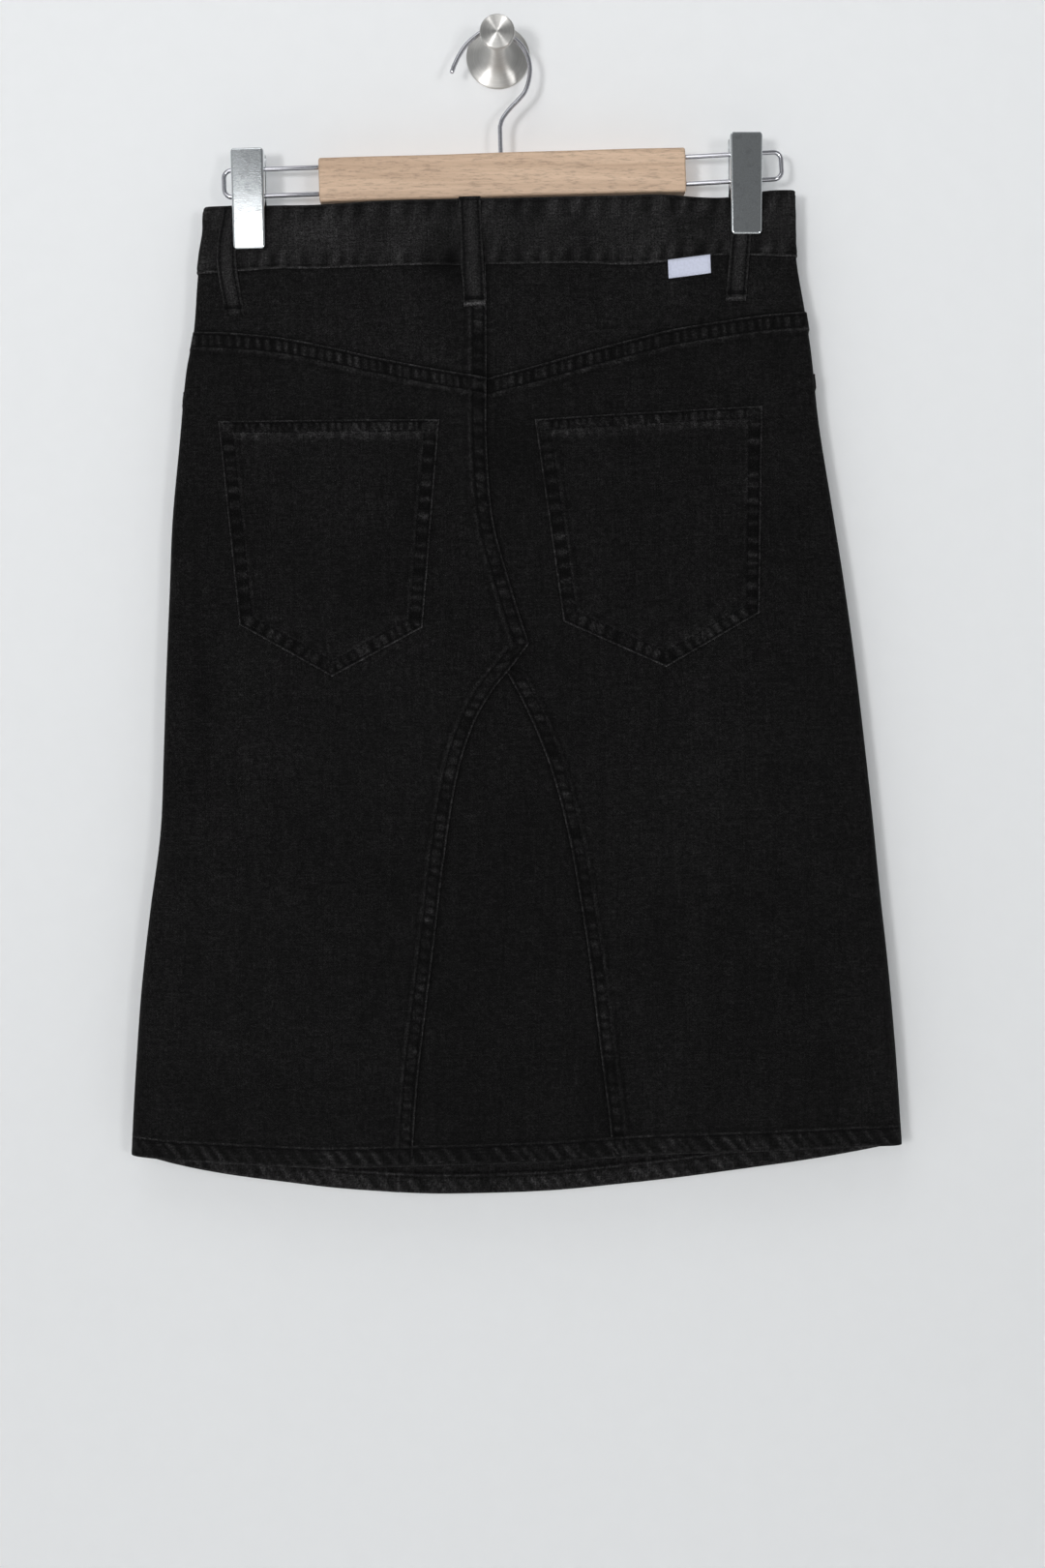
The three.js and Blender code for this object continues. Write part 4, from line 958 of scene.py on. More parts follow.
DENIM_CLOTH = denim_material("black_denim", 1.0)
YOKE_CLOTH = denim_material("black_denim_yoke", 1.25)
BAND_CLOTH = denim_material("black_denim_band", 2.4, 0.6)
GUSSET_CLOTH = denim_material("black_denim_gusset", 0.92)
THREAD = thread_material()
TAB_CLOTH = tab_material()
ZIP_CLOTH = denim_material("black_tape", 0.8)
STEEL = metal_material("polished_steel", (0.56, 0.56, 0.6), 0.1, bump=0.05)
CLIP_STEEL = metal_material(
    "plated_clip", (0.68, 0.71, 0.73), 0.06, scratch=(1300, 1300, 1300), specks=0.15, bump=0.3
)
ZIP_METAL = metal_material("zip_metal", (0.42, 0.4, 0.36), 0.35)
BUTTON_METAL = metal_material("button_metal", (0.36, 0.35, 0.34), 0.38, scratch=(500, 500, 500), specks=0.4)
KNOB_STEEL = knob_material()
WOOD = wood_material()


# Seams of the back
YOKE_SEAM = across_seam(yoke_edge)
CENTRE_SEAM = down_seam(CENTRE_BACK, 1)
LEFT_GUSSET_SEAM = down_seam(BACK_GUSSET_LEFT, 1)
RIGHT_GUSSET_SEAM = down_seam(BACK_GUSSET_RIGHT, -1)
BACK_HEM_EDGE = across_seam(back_hem)
FRONT_HEM_EDGE = across_seam(front_hem)
YOKE_LOOK = {
    "wide": 11.6, "rows": (1.9, 9.4), "pucker": 1.0, "pitch": 5.8, "seed": 11,
    "edge": 4.8, "crest": 0.22, "uneven": 0.26, "ridge": 2.9,
}
CENTRE_LOOK = {
    "wide": 11.4, "rows": (1.9, 8.8), "pucker": 0.5, "pitch": 6.6, "seed": 21,
    "edge": 3.8, "strength": 1.05, "uneven": 0.35, "ridge": 1.7,
}
LEFT_GUSSET_LOOK = {
    "wide": 10.6, "rows": (1.9, 8.4), "pucker": 0.9, "pitch": 6.2, "seed": 31,
    "edge": 4.0, "slant": 0.35, "uneven": 0.32, "ridge": 2.2,
}
RIGHT_GUSSET_LOOK = {
    "wide": 9.6, "rows": (1.9, 8.0), "pucker": 0.45, "pitch": 6.0, "seed": 41,
    "edge": 3.9, "strength": 1.1, "uneven": 0.4,
}


def edge_of(seam_rows, shift=0.0):
    return lambda down: smooth(seam_rows, np.maximum(down, seam_rows[0][0])) + shift


def left_panel_edge(down):
    return np.where(down < CORNER_LEVEL, smooth(CENTRE_BACK, down), smooth(BACK_GUSSET_LEFT, down))


def right_panel_edge(down):
    """The right panel goes on a little way under the left one."""
    under = left_panel_edge(down) - LAP_UNDER
    own = smooth(BACK_GUSSET_RIGHT, np.maximum(down, GUSSET_LEVEL))
    return np.where(down < GUSSET_LEVEL, np.minimum(under, own), own)


def back_edge_seam(x, down):
    """The left panel's lapping edge, which turns a corner from the centre seam into the gusset's."""
    upper, upper_run = CENTRE_SEAM(x, down)
    lower, lower_run = LEFT_GUSSET_SEAM(x, down)
    is_upper = upper < lower
    first = felled(upper, upper_run, CENTRE_LOOK)
    second = felled(lower, lower_run, LEFT_GUSSET_LOOK)
    return [np.where(is_upper, a, b) for a, b in zip(first, second)], np.minimum(upper, lower)


def with_hem(x, down, hem_edge, seed, both, outer, wear_and_painted_light):
    above, along = hem_edge(x, down)
    rise, rub_and_painted_light, inside = hem_band(-above, along, seed)
    under, under_rub_and_painted_light, _ = hem_band(-above, along, seed + 5, HEM_HEIGHT - 0.5)
    quiet = 1 - 0.75 * inside
    wear_and_painted_light = 1 + (wear_and_painted_light - 1) * quiet + (rub_and_painted_light - 1)
    inner = -DENIM * inside - under
    return both * (1 - 0.6 * inside), outer * quiet + rise, inner, wear_and_painted_light, lerp(1, under_rub_and_painted_light, 0.85)


def dress_left_panel(x, down):
    below, along = YOKE_SEAM(x, down)
    top_both, top_outer, top_wear_and_painted_light = felled(below, along, YOKE_LOOK)
    (side_both, side_outer, side_wear_and_painted_light), _ = back_edge_seam(x, down)
    both, outer = top_both + side_both, top_outer + side_outer
    return with_hem(x, down, BACK_HEM_EDGE, 51, both, outer, top_wear_and_painted_light + side_wear_and_painted_light - 1)


def dress_right_panel(x, down):
    below, along = YOKE_SEAM(x, down)
    top_both, top_outer, top_wear_and_painted_light = felled(below, along, {**YOKE_LOOK, "seed": 71})
    lap, _ = CENTRE_SEAM(x, down)
    corner, _ = LEFT_GUSSET_SEAM(x, down)
    under = np.minimum(lap, corner)
    clear = smooth_step(-under / 3)
    own, own_run = RIGHT_GUSSET_SEAM(x, down)
    side_both, side_outer, side_wear_and_painted_light = felled(own, own_run, RIGHT_GUSSET_LOOK)
    is_low = smooth_step((down - GUSSET_LEVEL + 8) / 8)
    both = (top_both + side_both * is_low) * clear
    outer = (top_outer + side_outer * is_low) * clear
    # Painted shade on the right panel just beside the left panel's lapping edge.
    wear_and_painted_light = (top_wear_and_painted_light + (side_wear_and_painted_light - 1) * is_low) * painted_edge_shade(-under)
    return with_hem(x, down, BACK_HEM_EDGE, 52, both, outer, wear_and_painted_light)


def dress_gusset(x, down):
    left = -LEFT_GUSSET_SEAM(x, down)[0]
    right = -RIGHT_GUSSET_SEAM(x, down)[0]
    # Painted shade beside both gusset seams, under the panels' edges.
    wear_and_painted_light = painted_edge_shade(left) * painted_edge_shade(right)
    nothing = np.zeros_like(x)
    return with_hem(x, down, BACK_HEM_EDGE, 53, nothing, nothing, wear_and_painted_light)


def dress_left_yoke(x, down):
    across, along = CENTRE_SEAM(x, down)
    both, outer, wear_and_painted_light = felled(across, along, {**CENTRE_LOOK, "seed": 81})
    under = YOKE_SEAM(x, down)[0]
    band = down - waist_seam("back", x)
    # Painted shade above the yoke seam, under the panel's edge, and just below the waistband.
    return both, outer, np.zeros_like(x), wear_and_painted_light * painted_edge_shade(-under) * painted_edge_shade(band, 1.8), np.ones_like(x)


def dress_right_yoke(x, down):
    under = YOKE_SEAM(x, down)[0]
    centre = CENTRE_SEAM(x, down)[0]
    band = down - waist_seam("back", x)
    nothing = np.zeros_like(x)
    # Painted shade beside the yoke seam, the centre seam and the waistband.
    return nothing, nothing, nothing, painted_edge_shade(-under) * painted_edge_shade(-centre) * painted_edge_shade(band, 1.8), np.ones_like(x)


def back_cloth():
    yoke = dict(
        side="back", top=lambda x: waist_seam("back", x) - TUCK_UNDER_BAND, foot=lambda x: yoke_edge(x) + 3,
        material=YOKE_CLOTH, row_step=1.8,
    )
    panel = dict(side="back", top=yoke_edge, foot=back_hem, top_fine=True, hem=True)
    centre = edge_of(CENTRE_BACK)
    left_yoke = cut_piece(
        "back_yoke_left_cloth", dress=dress_left_yoke, right=centre, right_fine=True, **yoke
    )
    right_yoke = cut_piece(
        "back_yoke_right_cloth", dress=dress_right_yoke, left=edge_of(CENTRE_BACK, -LAP_UNDER), **yoke
    )
    left = cut_piece(
        "back_panel_left_cloth", dress=dress_left_panel, right=left_panel_edge, right_fine=True,
        material=DENIM_CLOTH, **panel,
    )
    right = cut_piece(
        "back_panel_right_cloth", dress=dress_right_panel, left=right_panel_edge, left_fine=True,
        material=DENIM_CLOTH, **panel,
    )
    gusset = cut_piece(
        "back_gusset_cloth", dress=dress_gusset, left=edge_of(BACK_GUSSET_LEFT, -LAP_UNDER),
        right=edge_of(BACK_GUSSET_RIGHT, LAP_UNDER), from_level=GUSSET_LEVEL - 3, material=GUSSET_CLOTH,
        **{**panel, "top_fine": False},
    )
    return left_yoke, right_yoke, left, right, gusset


# The waistband
def waistband():
    fold_turns = np.linspace(2.96, 1.04, 13)
    sides = [("front", x) for x in np.arange(CENTRE_FRONT_X, -182, -1.7)]
    sides += [("fold", -turn) for turn in fold_turns]
    sides += [("back", x) for x in np.arange(-181.5, 188.5, 1.65)]
    sides += [("fold", turn) for turn in fold_turns[::-1]]
    sides += [("front", x) for x in np.arange(187.5, CENTRE_FRONT_X - UNDERLAP, -1.7)]
    drops = np.concatenate(
        [[0, 0.25, 0.7, 1.4, 2.4], np.arange(3.8, 38.5, 1.9), [39.2, 40.4, 41.4, 42.1, 42.5, 42.7]]
    )
    share = drops / drops[-1]
    turn, down = np.empty((len(drops), len(sides))), np.empty((len(drops), len(sides)))
    deep = np.zeros(len(sides))
    for j, (kind, value) in enumerate(sides):
        if kind == "fold":
            face = "front" if abs(value) > 2 else "back"
            x = cloth_point(np.array(value), np.array(WAISTBAND_HEIGHT / 2))[0]
        else:
            face, x = kind, value
        down[:, j] = lerp(waist_top(face, x), waist_seam(face, x) + 0.7, share)
        turn[:, j] = value if kind == "fold" else turn_at(face, x, down[:, j])
        if kind == "front" and j > len(sides) / 2:
            deep[j] = (WAISTBAND_THICK + SEAM_GAP) * (1 - smooth_step((x - CENTRE_FRONT_X - 2) / 12))
    points = cloth_point(turn, down)
    steps = np.linalg.norm(np.diff(points[len(drops) // 2], axis=0), axis=1)
    run = np.tile(np.concatenate([[0], np.cumsum(steps)]), (len(drops), 1))
    from_top = np.tile(drops[:, None], (1, len(sides)))
    from_foot = drops[-1] - from_top
    high, low = crests(run + 0.25 * from_top, 13, 101, 0.3), crests(run - 0.2 * from_foot, 11.5, 102, 0.3)
    top_zone = smooth_step(from_top / 2.5) * (1 - smooth_step((from_top - 7) / 10))
    foot_zone = smooth_step(from_foot / 2.5) * (1 - smooth_step((from_foot - 6) / 9))
    soft = noise_area(run, from_top, 34, 18, 103)
    thread = bell(from_top - 2.2, 0.8) + bell(from_foot - 2.4, 0.8)
    streak = noise_area(run + 0.5 * from_top, from_top, 7, 14, 105)
    relief = (
        1.6 * top_zone * (high - 0.35) + 1.5 * foot_zone * (low - 0.35) + 0.6 * soft + 0.2 * streak
        - 0.35 * thread
    )
    # Colour multiplier: the ripples' crests are rubbed paler by wear, pale lines run along the foot and the
    # top edge, and the darker ripple troughs and stitch lines are painted shade.
    wear_and_painted_light = (
        1 + 1.5 * top_zone * (high - 0.35) + 1.5 * foot_zone * (low - 0.38) + 0.24 * soft + 0.14 * streak
        - 0.4 * thread
    )
    wear_and_painted_light = (
        wear_and_painted_light + 2.2 * bell(from_foot - 0.3, 0.7) * (0.65 + 0.35 * noise_line(run, 3.5, 104))
        + 0.5 * bell(from_top, 1.0)
    )
    wear_and_painted_light = np.maximum(wear_and_painted_light, 0.3)
    wear_and_painted_light = wear_and_painted_light * np.where(np.abs(turn) < 1, wear_and_painted_shade(cloth_point(turn, down)[..., 0], down), 1)
    rounding = round_edge(from_top, 1.3) + round_edge(from_foot, 0.9)
    out = WAISTBAND_THICK / 2 + relief - rounding - deep
    into = -WAISTBAND_THICK / 2 + round_edge(from_top, 1.3) - deep
    return wall(
        "waistband_cloth", "round", turn, down, out, into, (wear_and_painted_light, np.ones_like(wear_and_painted_light)), run, BAND_CLOTH
    )


# Patches that lie on the cloth
def line_distance(a, b, x, down):
    """How far a point lies to the inner side of the line from a to b, and how far along it."""
    (x0, y0), (x1, y1) = a, b
    length = math.hypot(x1 - x0, y1 - y0)
    off = ((x1 - x0) * (down - y0) - (y1 - y0) * (x - x0)) / length
    return off, ((x1 - x0) * (x - x0) + (y1 - y0) * (down - y0)) / length


def patch_grid(corners, columns, rows):
    """Points of a patch with straight edges. columns and rows are shares from 0 to 1."""
    if len(corners) == 5:
        top_left, top_right, bottom_right, tip, bottom_left = corners
    else:
        top_left, top_right, bottom_right, bottom_left = corners
        tip = bottom_right
    tip_share = (tip[0] - bottom_left[0]) / (bottom_right[0] - bottom_left[0])
    u, v = np.meshgrid(columns, rows)
    places = (0, tip_share, 1) if tip_share < 1 else (0, 1)
    foot = (bottom_left, tip, bottom_right) if tip_share < 1 else (bottom_left, bottom_right)
    grids = []
    for k in (0, 1):
        low = np.interp(u, places, [point[k] for point in foot])
        grids.append(lerp(lerp(top_left[k], top_right[k], u), low, v))
    return grids, tip_share


def fine_shares(length, step, centre=None):
    """Shares along a length, close together at both ends, with one exactly at centre."""
    near = EDGE_STEPS[EDGE_STEPS < length / 4] / length
    inner = np.linspace(near[-1], 1 - near[-1], max(3, int(length * (1 - 2 * near[-1]) / step)))
    if centre is not None:
        inner[np.argmin(np.abs(inner - centre))] = centre
    return np.concatenate([near[:-1], inner, 1 - near[-2::-1]])


POCKET_TOP = {
    "wide": 8.4, "rows": (1.5, 7.4), "pucker": 0.8, "pitch": 4.3, "lap": 0, "rise": 0.75,
    "edge": 3.8, "slant": 0.2, "crest": 0.26, "below": (1.6, 2.4, -0.25, 2.0), "strength": 1.3,
}
POCKET_SIDE = {
    "wide": 10.2, "rows": (1.3, 9.4), "pucker": 0.6, "pitch": 8.0, "lap": 0, "rise": 0.5,
    "edge": 5.0, "uneven": 0.36, "crest": 0.18, "ridge": 2.0,
}
POCKET_FOOT = {
    "wide": 9.6, "rows": (1.3, 8.8), "pucker": 0.6, "pitch": 6.4, "lap": 0, "rise": 0.5,
    "edge": 5.4, "uneven": 0.35, "crest": 0.22, "strength": 1.1, "below": (2, 2.8, 0.1, 1.2),
}
POCKET_LIFT = DENIM / 2 + 0.1


def pocket_dress(corners, seed):
    looks = (POCKET_TOP, POCKET_SIDE, POCKET_FOOT, POCKET_FOOT, POCKET_SIDE)
    edges = list(zip(corners, corners[1:] + corners[:1]))

    def dress(x, down):
        measured = [line_distance(a, b, x, down) for a, b in edges]
        nearest = np.argmin(np.stack([off for off, _ in measured]), axis=0)
        total, wear_and_painted_light = np.zeros_like(x), np.ones_like(x)
        for k, (look, (off, along)) in enumerate(zip(looks, measured)):
            _, outer, rub_and_painted_light = felled(off, along, {**look, "seed": seed + 7 * k})
            if k == 0:
                share = smooth_step((np.minimum(measured[1][0], measured[4][0]) - 7) / 3)
            else:
                share = np.where(nearest == k, 1.0, 0.0) * smooth_step((measured[0][0] - 9) / 4)
                share = np.where(off < 1.4, 1.0, share)
            edge_only = bell(off - 0.35, 0.75) * look["edge"]
            raised = outer * np.maximum(share, 0.25 * (off < look["wide"]))
            total = total + raised - (1 - share) * round_edge(off)
            wear_and_painted_light = wear_and_painted_light + (rub_and_painted_light - 1) * share + edge_only * (1 - share)
        for side in (1, 4):
            corner = bell(measured[0][0] - 4.5, 3.2) * bell(measured[side][0] - 4.8, 3.4)
            total, wear_and_painted_light = total + 0.35 * corner, wear_and_painted_light + 1.3 * corner
        return total, wear_and_painted_light

    return dress


def back_pocket(name, corners, seed):
    dress = pocket_dress(corners, seed)
    _, tip_share = patch_grid(corners, np.array([0.0]), np.array([0.0]))
    (x, down), _ = patch_grid(corners, fine_shares(140, 1.9, tip_share), fine_shares(145, 1.9))
    outer, wear_and_painted_light = dress(x, down)
    wear_and_painted_light = wear_and_painted_light * wear_and_painted_shade(x, down)
    turn = turn_at("back", x, down)
    into = np.full_like(x, POCKET_LIFT - 0.15)
    piece = wall(
        name + "_cloth", "back", turn, down, POCKET_LIFT + DENIM + outer, into, (wear_and_painted_light, np.ones_like(x)), x,
        DENIM_CLOTH
    )
    sewing = Seamstress(name + "_thread", "back")

    def height(px, pdown):
        return POCKET_LIFT + DENIM + dress(px, pdown)[0]

    for inset in POCKET_STITCHES:
        sewing.sew(inset_path(corners, inset), height)
    top_left, top_right = corners[:2]
    for inset in POCKET_TOP["rows"]:
        path = [
            (lerp(top_left[0], top_right[0], t), lerp(top_left[1], top_right[1], t) + inset)
            for t in (0.02, 0.98)
        ]
        sewing.sew(path, height)
    return piece, sewing.finish(THREAD)


def inset_path(corners, inset):
    """The stitched line inside a pocket's sides and foot."""
    points = []
    ring = list(corners)
    for k in range(1, len(ring) + 1):
        a, b, c = ring[k - 1], ring[k % len(ring)], ring[(k + 1) % len(ring)]
        n1 = np.array([-(b[1] - a[1]), b[0] - a[0]]) / math.hypot(b[0] - a[0], b[1] - a[1])
        n2 = np.array([-(c[1] - b[1]), c[0] - b[0]]) / math.hypot(c[0] - b[0], c[1] - b[1])
        miter = (n1 + n2) / (1 + float(n1 @ n2))
        points.append(np.array(b) + miter * inset)
    return points[:5]


def belt_loop(name, side, width, top, middle, foot, worn_end):
    path = ((0, top), (0.45, middle), (1, foot))
    seam = (WAISTBAND_HEIGHT + 2) / LOOP_LENGTH
    share = np.concatenate([[0, 0.004, 0.012], np.linspace(0.025, 0.93, 44), np.linspace(0.938, 1, 14)])
    half = np.array([0.5, 0.49, 0.465, 0.43, 0.38, 0.32, 0.25, 0.17, 0.08])
    across, v = np.meshgrid(np.concatenate([-half, [0], half[::-1]]), share)
    seed = 200 + len(name) + int(abs(top))

    def place(u, w):
        x = smooth(path, w) + u * width
        level = LOOP_TOP - 0.8 + w * (LOOP_LENGTH + 0.8)
        return x, level + (waist_top("front", x) - WAIST_TOP[0][1] if side == "front" else 0)

    def height(u, w):
        lift = lerp(WAISTBAND_THICK / 2, DENIM / 2, smooth_step((w - seam) / 0.16)) + 0.1
        edge = width * (0.5 - np.abs(u))
        bow = 0.5 * np.sin(np.pi * np.clip(w / 0.9, 0, 1))
        ridge = 0.3 * bell(u * width, 2.2) * (0.7 + 0.3 * noise_line(w * LOOP_LENGTH, 6, seed))
        thread = bell(edge - 2.0, 0.6)
        tack = bell((w - 0.925) * LOOP_LENGTH, 1.1) + bell((w - 0.03) * LOOP_LENGTH, 1.0)
        end = round_edge((1 - w) * LOOP_LENGTH, 1.2)
        rope = 0.12 * (crests(w * LOOP_LENGTH + 2 * u, 3.4, seed + 1) - 0.3) * bell(u * width, 4)
        rise = LOOP_THICK + ridge + rope - 0.3 * thread - 0.65 * tack - end - round_edge(edge, 1.0)
        return lift + bow, rise

    base, thick = height(across, v)
    x, down = place(across, v)
    edge = width * (0.5 - np.abs(across))
    wear_and_painted_light = 0.85 + 1.6 * bell(edge - 0.25, 0.65) * (0.55 + 0.45 * noise_line(v * LOOP_LENGTH, 4, seed + 2))
    # The darker line at each stitch row is painted shade.
    wear_and_painted_light = wear_and_painted_light + 0.6 * bell(across * width, 2.4) - 0.5 * bell(edge - 2.0, 0.8)
    end_zone = (
        bell((1 - v) * LOOP_LENGTH - 1.2, 1.3) * (0.75 + 0.25 * noise_line(across * width, 2, seed + 3))
    )
    # The darker bar at the lower tack is painted shade in its groove; the worn end is wear.
    wear_and_painted_light = wear_and_painted_light - 0.6 * bell((v - 0.925) * LOOP_LENGTH, 1.6) + worn_end * end_zone
    wear_and_painted_light = np.maximum(wear_and_painted_light, 0.2)
    turn = turn_at(side, x, down)
    faces = (base + thick, base - 0.1, (wear_and_painted_light, np.ones_like(wear_and_painted_light)))
    piece = wall(
        name + "_cloth", side, turn, down, *faces, across * width,
        BAND_CLOTH if side == "back" else YOKE_CLOTH
    )
    sewing = Seamstress(name + "_thread", side)

    def sewn(px, pdown):
        drop = waist_top("front", px) - WAIST_TOP[0][1] if side == "front" else 0
        w = (pdown - LOOP_TOP + 0.8 - drop) / (LOOP_LENGTH + 0.8)
        u = (px - smooth(path, w)) / width
        lift, over = height(u, w)
        return lift + over

    def spot(u, w):
        return tuple(float(c) for c in place(np.array(u), np.array(w)))

    for u in (-0.5 + 2.0 / width, 0.5 - 2.0 / width):
        sewing.sew([spot(u, w) for w in np.linspace(0.03, 0.9, 12)], sewn)
    for w in (0.03, 0.92, 0.932):
        tack = [spot(-0.46, w), spot(0.46, w)]
        sewing.sew(tack, sewn, pitch=0.8, length=2.2, half_width=0.3, turned=math.pi / 2)
    return piece, sewing.finish(THREAD)


def side_tab():
    (x, down), _ = patch_grid(TAB, fine_shares(27, 1.0), fine_shares(13, 0.9))
    off = [line_distance(a, b, x, down)[0] for a, b in zip(TAB, TAB[1:] + TAB[:1])]
    edge = np.minimum.reduce(off)
    below = smooth_step(off[0] / 12)
    lift = lerp(WAISTBAND_THICK / 2 + 0.15, WAISTBAND_THICK / 2 - 0.1, below)
    lift = lift + 0.5 * below * bell(x - 135, 5)
    out = lift + 0.85 - round_edge(edge, 0.35) + 0.1 * noise_area(x, down, 6, 5, 301)
    wear_and_painted_light = 1 - 0.12 * bell(edge - 1.1, 0.5) - 0.25 * bell(off[0], 0.8)
    turn = turn_at("back", x, down)
    piece = wall("side_tab_cloth", "back", turn, down, out, lift, (wear_and_painted_light, wear_and_painted_light), x, TAB_CLOTH)
    stands_for(piece, "woven_tab", "side_tab")
    return piece


# The front
MOUTH_SEAM = across_seam(front_top)
FRONT_LEFT_SEAM = down_seam(FRONT_GUSSET_LEFT, 1)
FRONT_RIGHT_SEAM = down_seam(FRONT_GUSSET_RIGHT, -1)
MOUTH_LOOK = {"wide": 9.5, "rows": (1.9, 7.8), "pucker": 0.4, "pitch": 6.5, "seed": 401, "lap": 1.2}
FRONT_LOOK = {"wide": 9.8, "rows": (1.9, 8.0), "pucker": 0.5, "pitch": 6.3, "seed": 411}
FLY_STITCH = {"wide": 34, "foot": 205, "bend": 30, "shifts": (0, 6)}
# Painted light: the front's inner faces are made this much paler, to lift the shade that falls inside the
# hem.
INSIDE_PAINTED_LIGHT = 2.0


def fly_stitch_off(x, down):
    """Distance to the curved line of stitches that holds the fly."""
    wide, foot, bend = FLY_STITCH["wide"], FLY_STITCH["foot"], FLY_STITCH["bend"]
    share = np.clip((down - (foot - bend)) / bend, 0, 1)
    line = CENTRE_FRONT_X - wide * np.sqrt(np.maximum(0, 1 - share**2))
    return np.where(down < foot, x - line, 99.0) / np.hypot(1, np.clip(share * 1.5, 0, 3))


def dress_front(side_sign):
    def dress(x, down):
        below, along = MOUTH_SEAM(x, down)
        both, outer, wear_and_painted_light = felled(below, along, {**MOUTH_LOOK, "seed": 401 + side_sign})
        at_mouth = smooth_step((np.abs(x - middle_of(down)) - POCKET_MOUTH["from"] + 8) / 10)
        both, outer, wear_and_painted_light = both * at_mouth, outer * at_mouth, 1 + (wear_and_painted_light - 1) * at_mouth
        seam = FRONT_LEFT_SEAM if side_sign < 0 else FRONT_RIGHT_SEAM
        lap, run = seam(x, down)
        low = smooth_step((down - FRONT_GUSSET_TOP + 6) / 6)
        if side_sign < 0:
            centre = np.where(down < FRONT_GUSSET_TOP, CENTRE_FRONT_X - x, 99.0)
            look = {**FRONT_LOOK, "seed": 431, "wide": 7, "rows": (1.9, 5.2)}
            c_both, c_outer, centre_wear_and_painted_light = felled(centre, down, look)
            both, outer, wear_and_painted_light = both + c_both, outer + c_outer, wear_and_painted_light + centre_wear_and_painted_light - 1
            for shift in FLY_STITCH["shifts"]:
                thread = bell(fly_stitch_off(x, down) - shift, 0.9)
                outer, wear_and_painted_light = outer - 0.3 * thread, wear_and_painted_light - 0.3 * thread
        g_both, g_outer, gusset_seam_wear_and_painted_light = felled(lap, run, {**FRONT_LOOK, "seed": 421 + side_sign})
        both, outer, wear_and_painted_light = both + g_both * low, outer + g_outer * low, wear_and_painted_light + (gusset_seam_wear_and_painted_light - 1) * low
        if side_sign > 0:
            clear = smooth_step((x - CENTRE_FRONT_X) / 3)
            both = both * (1 - (1 - low) * (1 - clear))
        # Painted shade just below the waistband.
        wear_and_painted_light = wear_and_painted_light * painted_edge_shade(down - waist_seam("front", x), 1.8)
        hem = with_hem(x, down, FRONT_HEM_EDGE, 441 + side_sign, both, outer, wear_and_painted_light)
        both, outer, inner, wear_and_painted_light, inner_wear_and_painted_light = hem
        allowance = low * bell(np.maximum(lap - 5, 0), 4) * smooth_step(lap / 1.2)
        inner_wear_and_painted_light = inner_wear_and_painted_light + low * (0.9 * bell(lap - 10, 0.9) + 0.5 * bell(lap - 1.5, 0.9))
        # Painted light: the inner face is made paler, against the shade that falls there.
        return both, outer, inner - 0.9 * allowance, wear_and_painted_light, INSIDE_PAINTED_LIGHT * inner_wear_and_painted_light

    return dress


def dress_front_gusset(x, down):
    left, right = -FRONT_LEFT_SEAM(x, down)[0], -FRONT_RIGHT_SEAM(x, down)[0]
    nothing = np.zeros_like(x)
    # Painted shade beside both gusset seams.
    *faces, inner_wear_and_painted_light = with_hem(x, down, FRONT_HEM_EDGE, 451, nothing, nothing, painted_edge_shade(left) * painted_edge_shade(right))
    # Painted light: the inner face is made paler, against the shade that falls there.
    return *faces, INSIDE_PAINTED_LIGHT * inner_wear_and_painted_light


def dress_facing(x, down):
    nothing = np.zeros_like(x)
    # Painted shade on the facing just inside the pocket mouth's edge and below the waistband.
    wear_and_painted_light = painted_edge_shade(front_top(x) - down, 2.5) * painted_edge_shade(down - waist_seam("front", x), 1.8)
    return nothing, nothing, nothing, wear_and_painted_light, np.ones_like(x)


def front_left_edge(down):
    return np.where(down < FRONT_GUSSET_TOP, CENTRE_FRONT_X, smooth(FRONT_GUSSET_LEFT, down))


def front_right_edge(down):
    return np.where(down < FRONT_GUSSET_TOP, CENTRE_FRONT_X - LAP_UNDER, smooth(FRONT_GUSSET_RIGHT, down))


def front_cloth():
    def top(x):
        plain = 1 - smooth_step((np.abs(x - middle_of(0)) - POCKET_MOUTH["from"] + 8) / 8)
        return front_top(x) - TUCK_UNDER_BAND * plain

    panel = dict(
        side="front", top=top, foot=front_hem, top_fine=True, hem=True, material=DENIM_CLOTH,
        step=2.4, row_step=4.0,
    )
    left = cut_piece(
        "front_panel_left_cloth", dress=dress_front(-1), right=front_left_edge, right_fine=True, **panel
    )
    right = cut_piece(
        "front_panel_right_cloth", dress=dress_front(1), left=front_right_edge, left_fine=True, **panel
    )
    gusset = cut_piece(
        "front_gusset_cloth", dress=dress_front_gusset, left=edge_of(FRONT_GUSSET_LEFT, -LAP_UNDER),
        right=edge_of(FRONT_GUSSET_RIGHT, LAP_UNDER), from_level=FRONT_GUSSET_TOP,
        **{**panel, "top_fine": False, "material": GUSSET_CLOTH},
    )
    facing = dict(
        side="front", top=lambda x: waist_seam("front", x) - TUCK_UNDER_BAND,
        foot=lambda x: front_top(x) + 8, dress=dress_facing,
        material=YOKE_CLOTH, step=2.6, row_step=3,
    )
    edge = POCKET_MOUTH["from"] - 6
    middle = float(middle_of(POCKET_MOUTH["side_level"]))
    facing_left = cut_piece(
        "front_pocket_facing_left_cloth", right=lambda down: 0 * down + middle - edge, **facing
    )
    facing_right = cut_piece(
        "front_pocket_facing_right_cloth", left=lambda down: 0 * down + middle + edge, **facing
    )
    return left, right, gusset, facing_left, facing_right


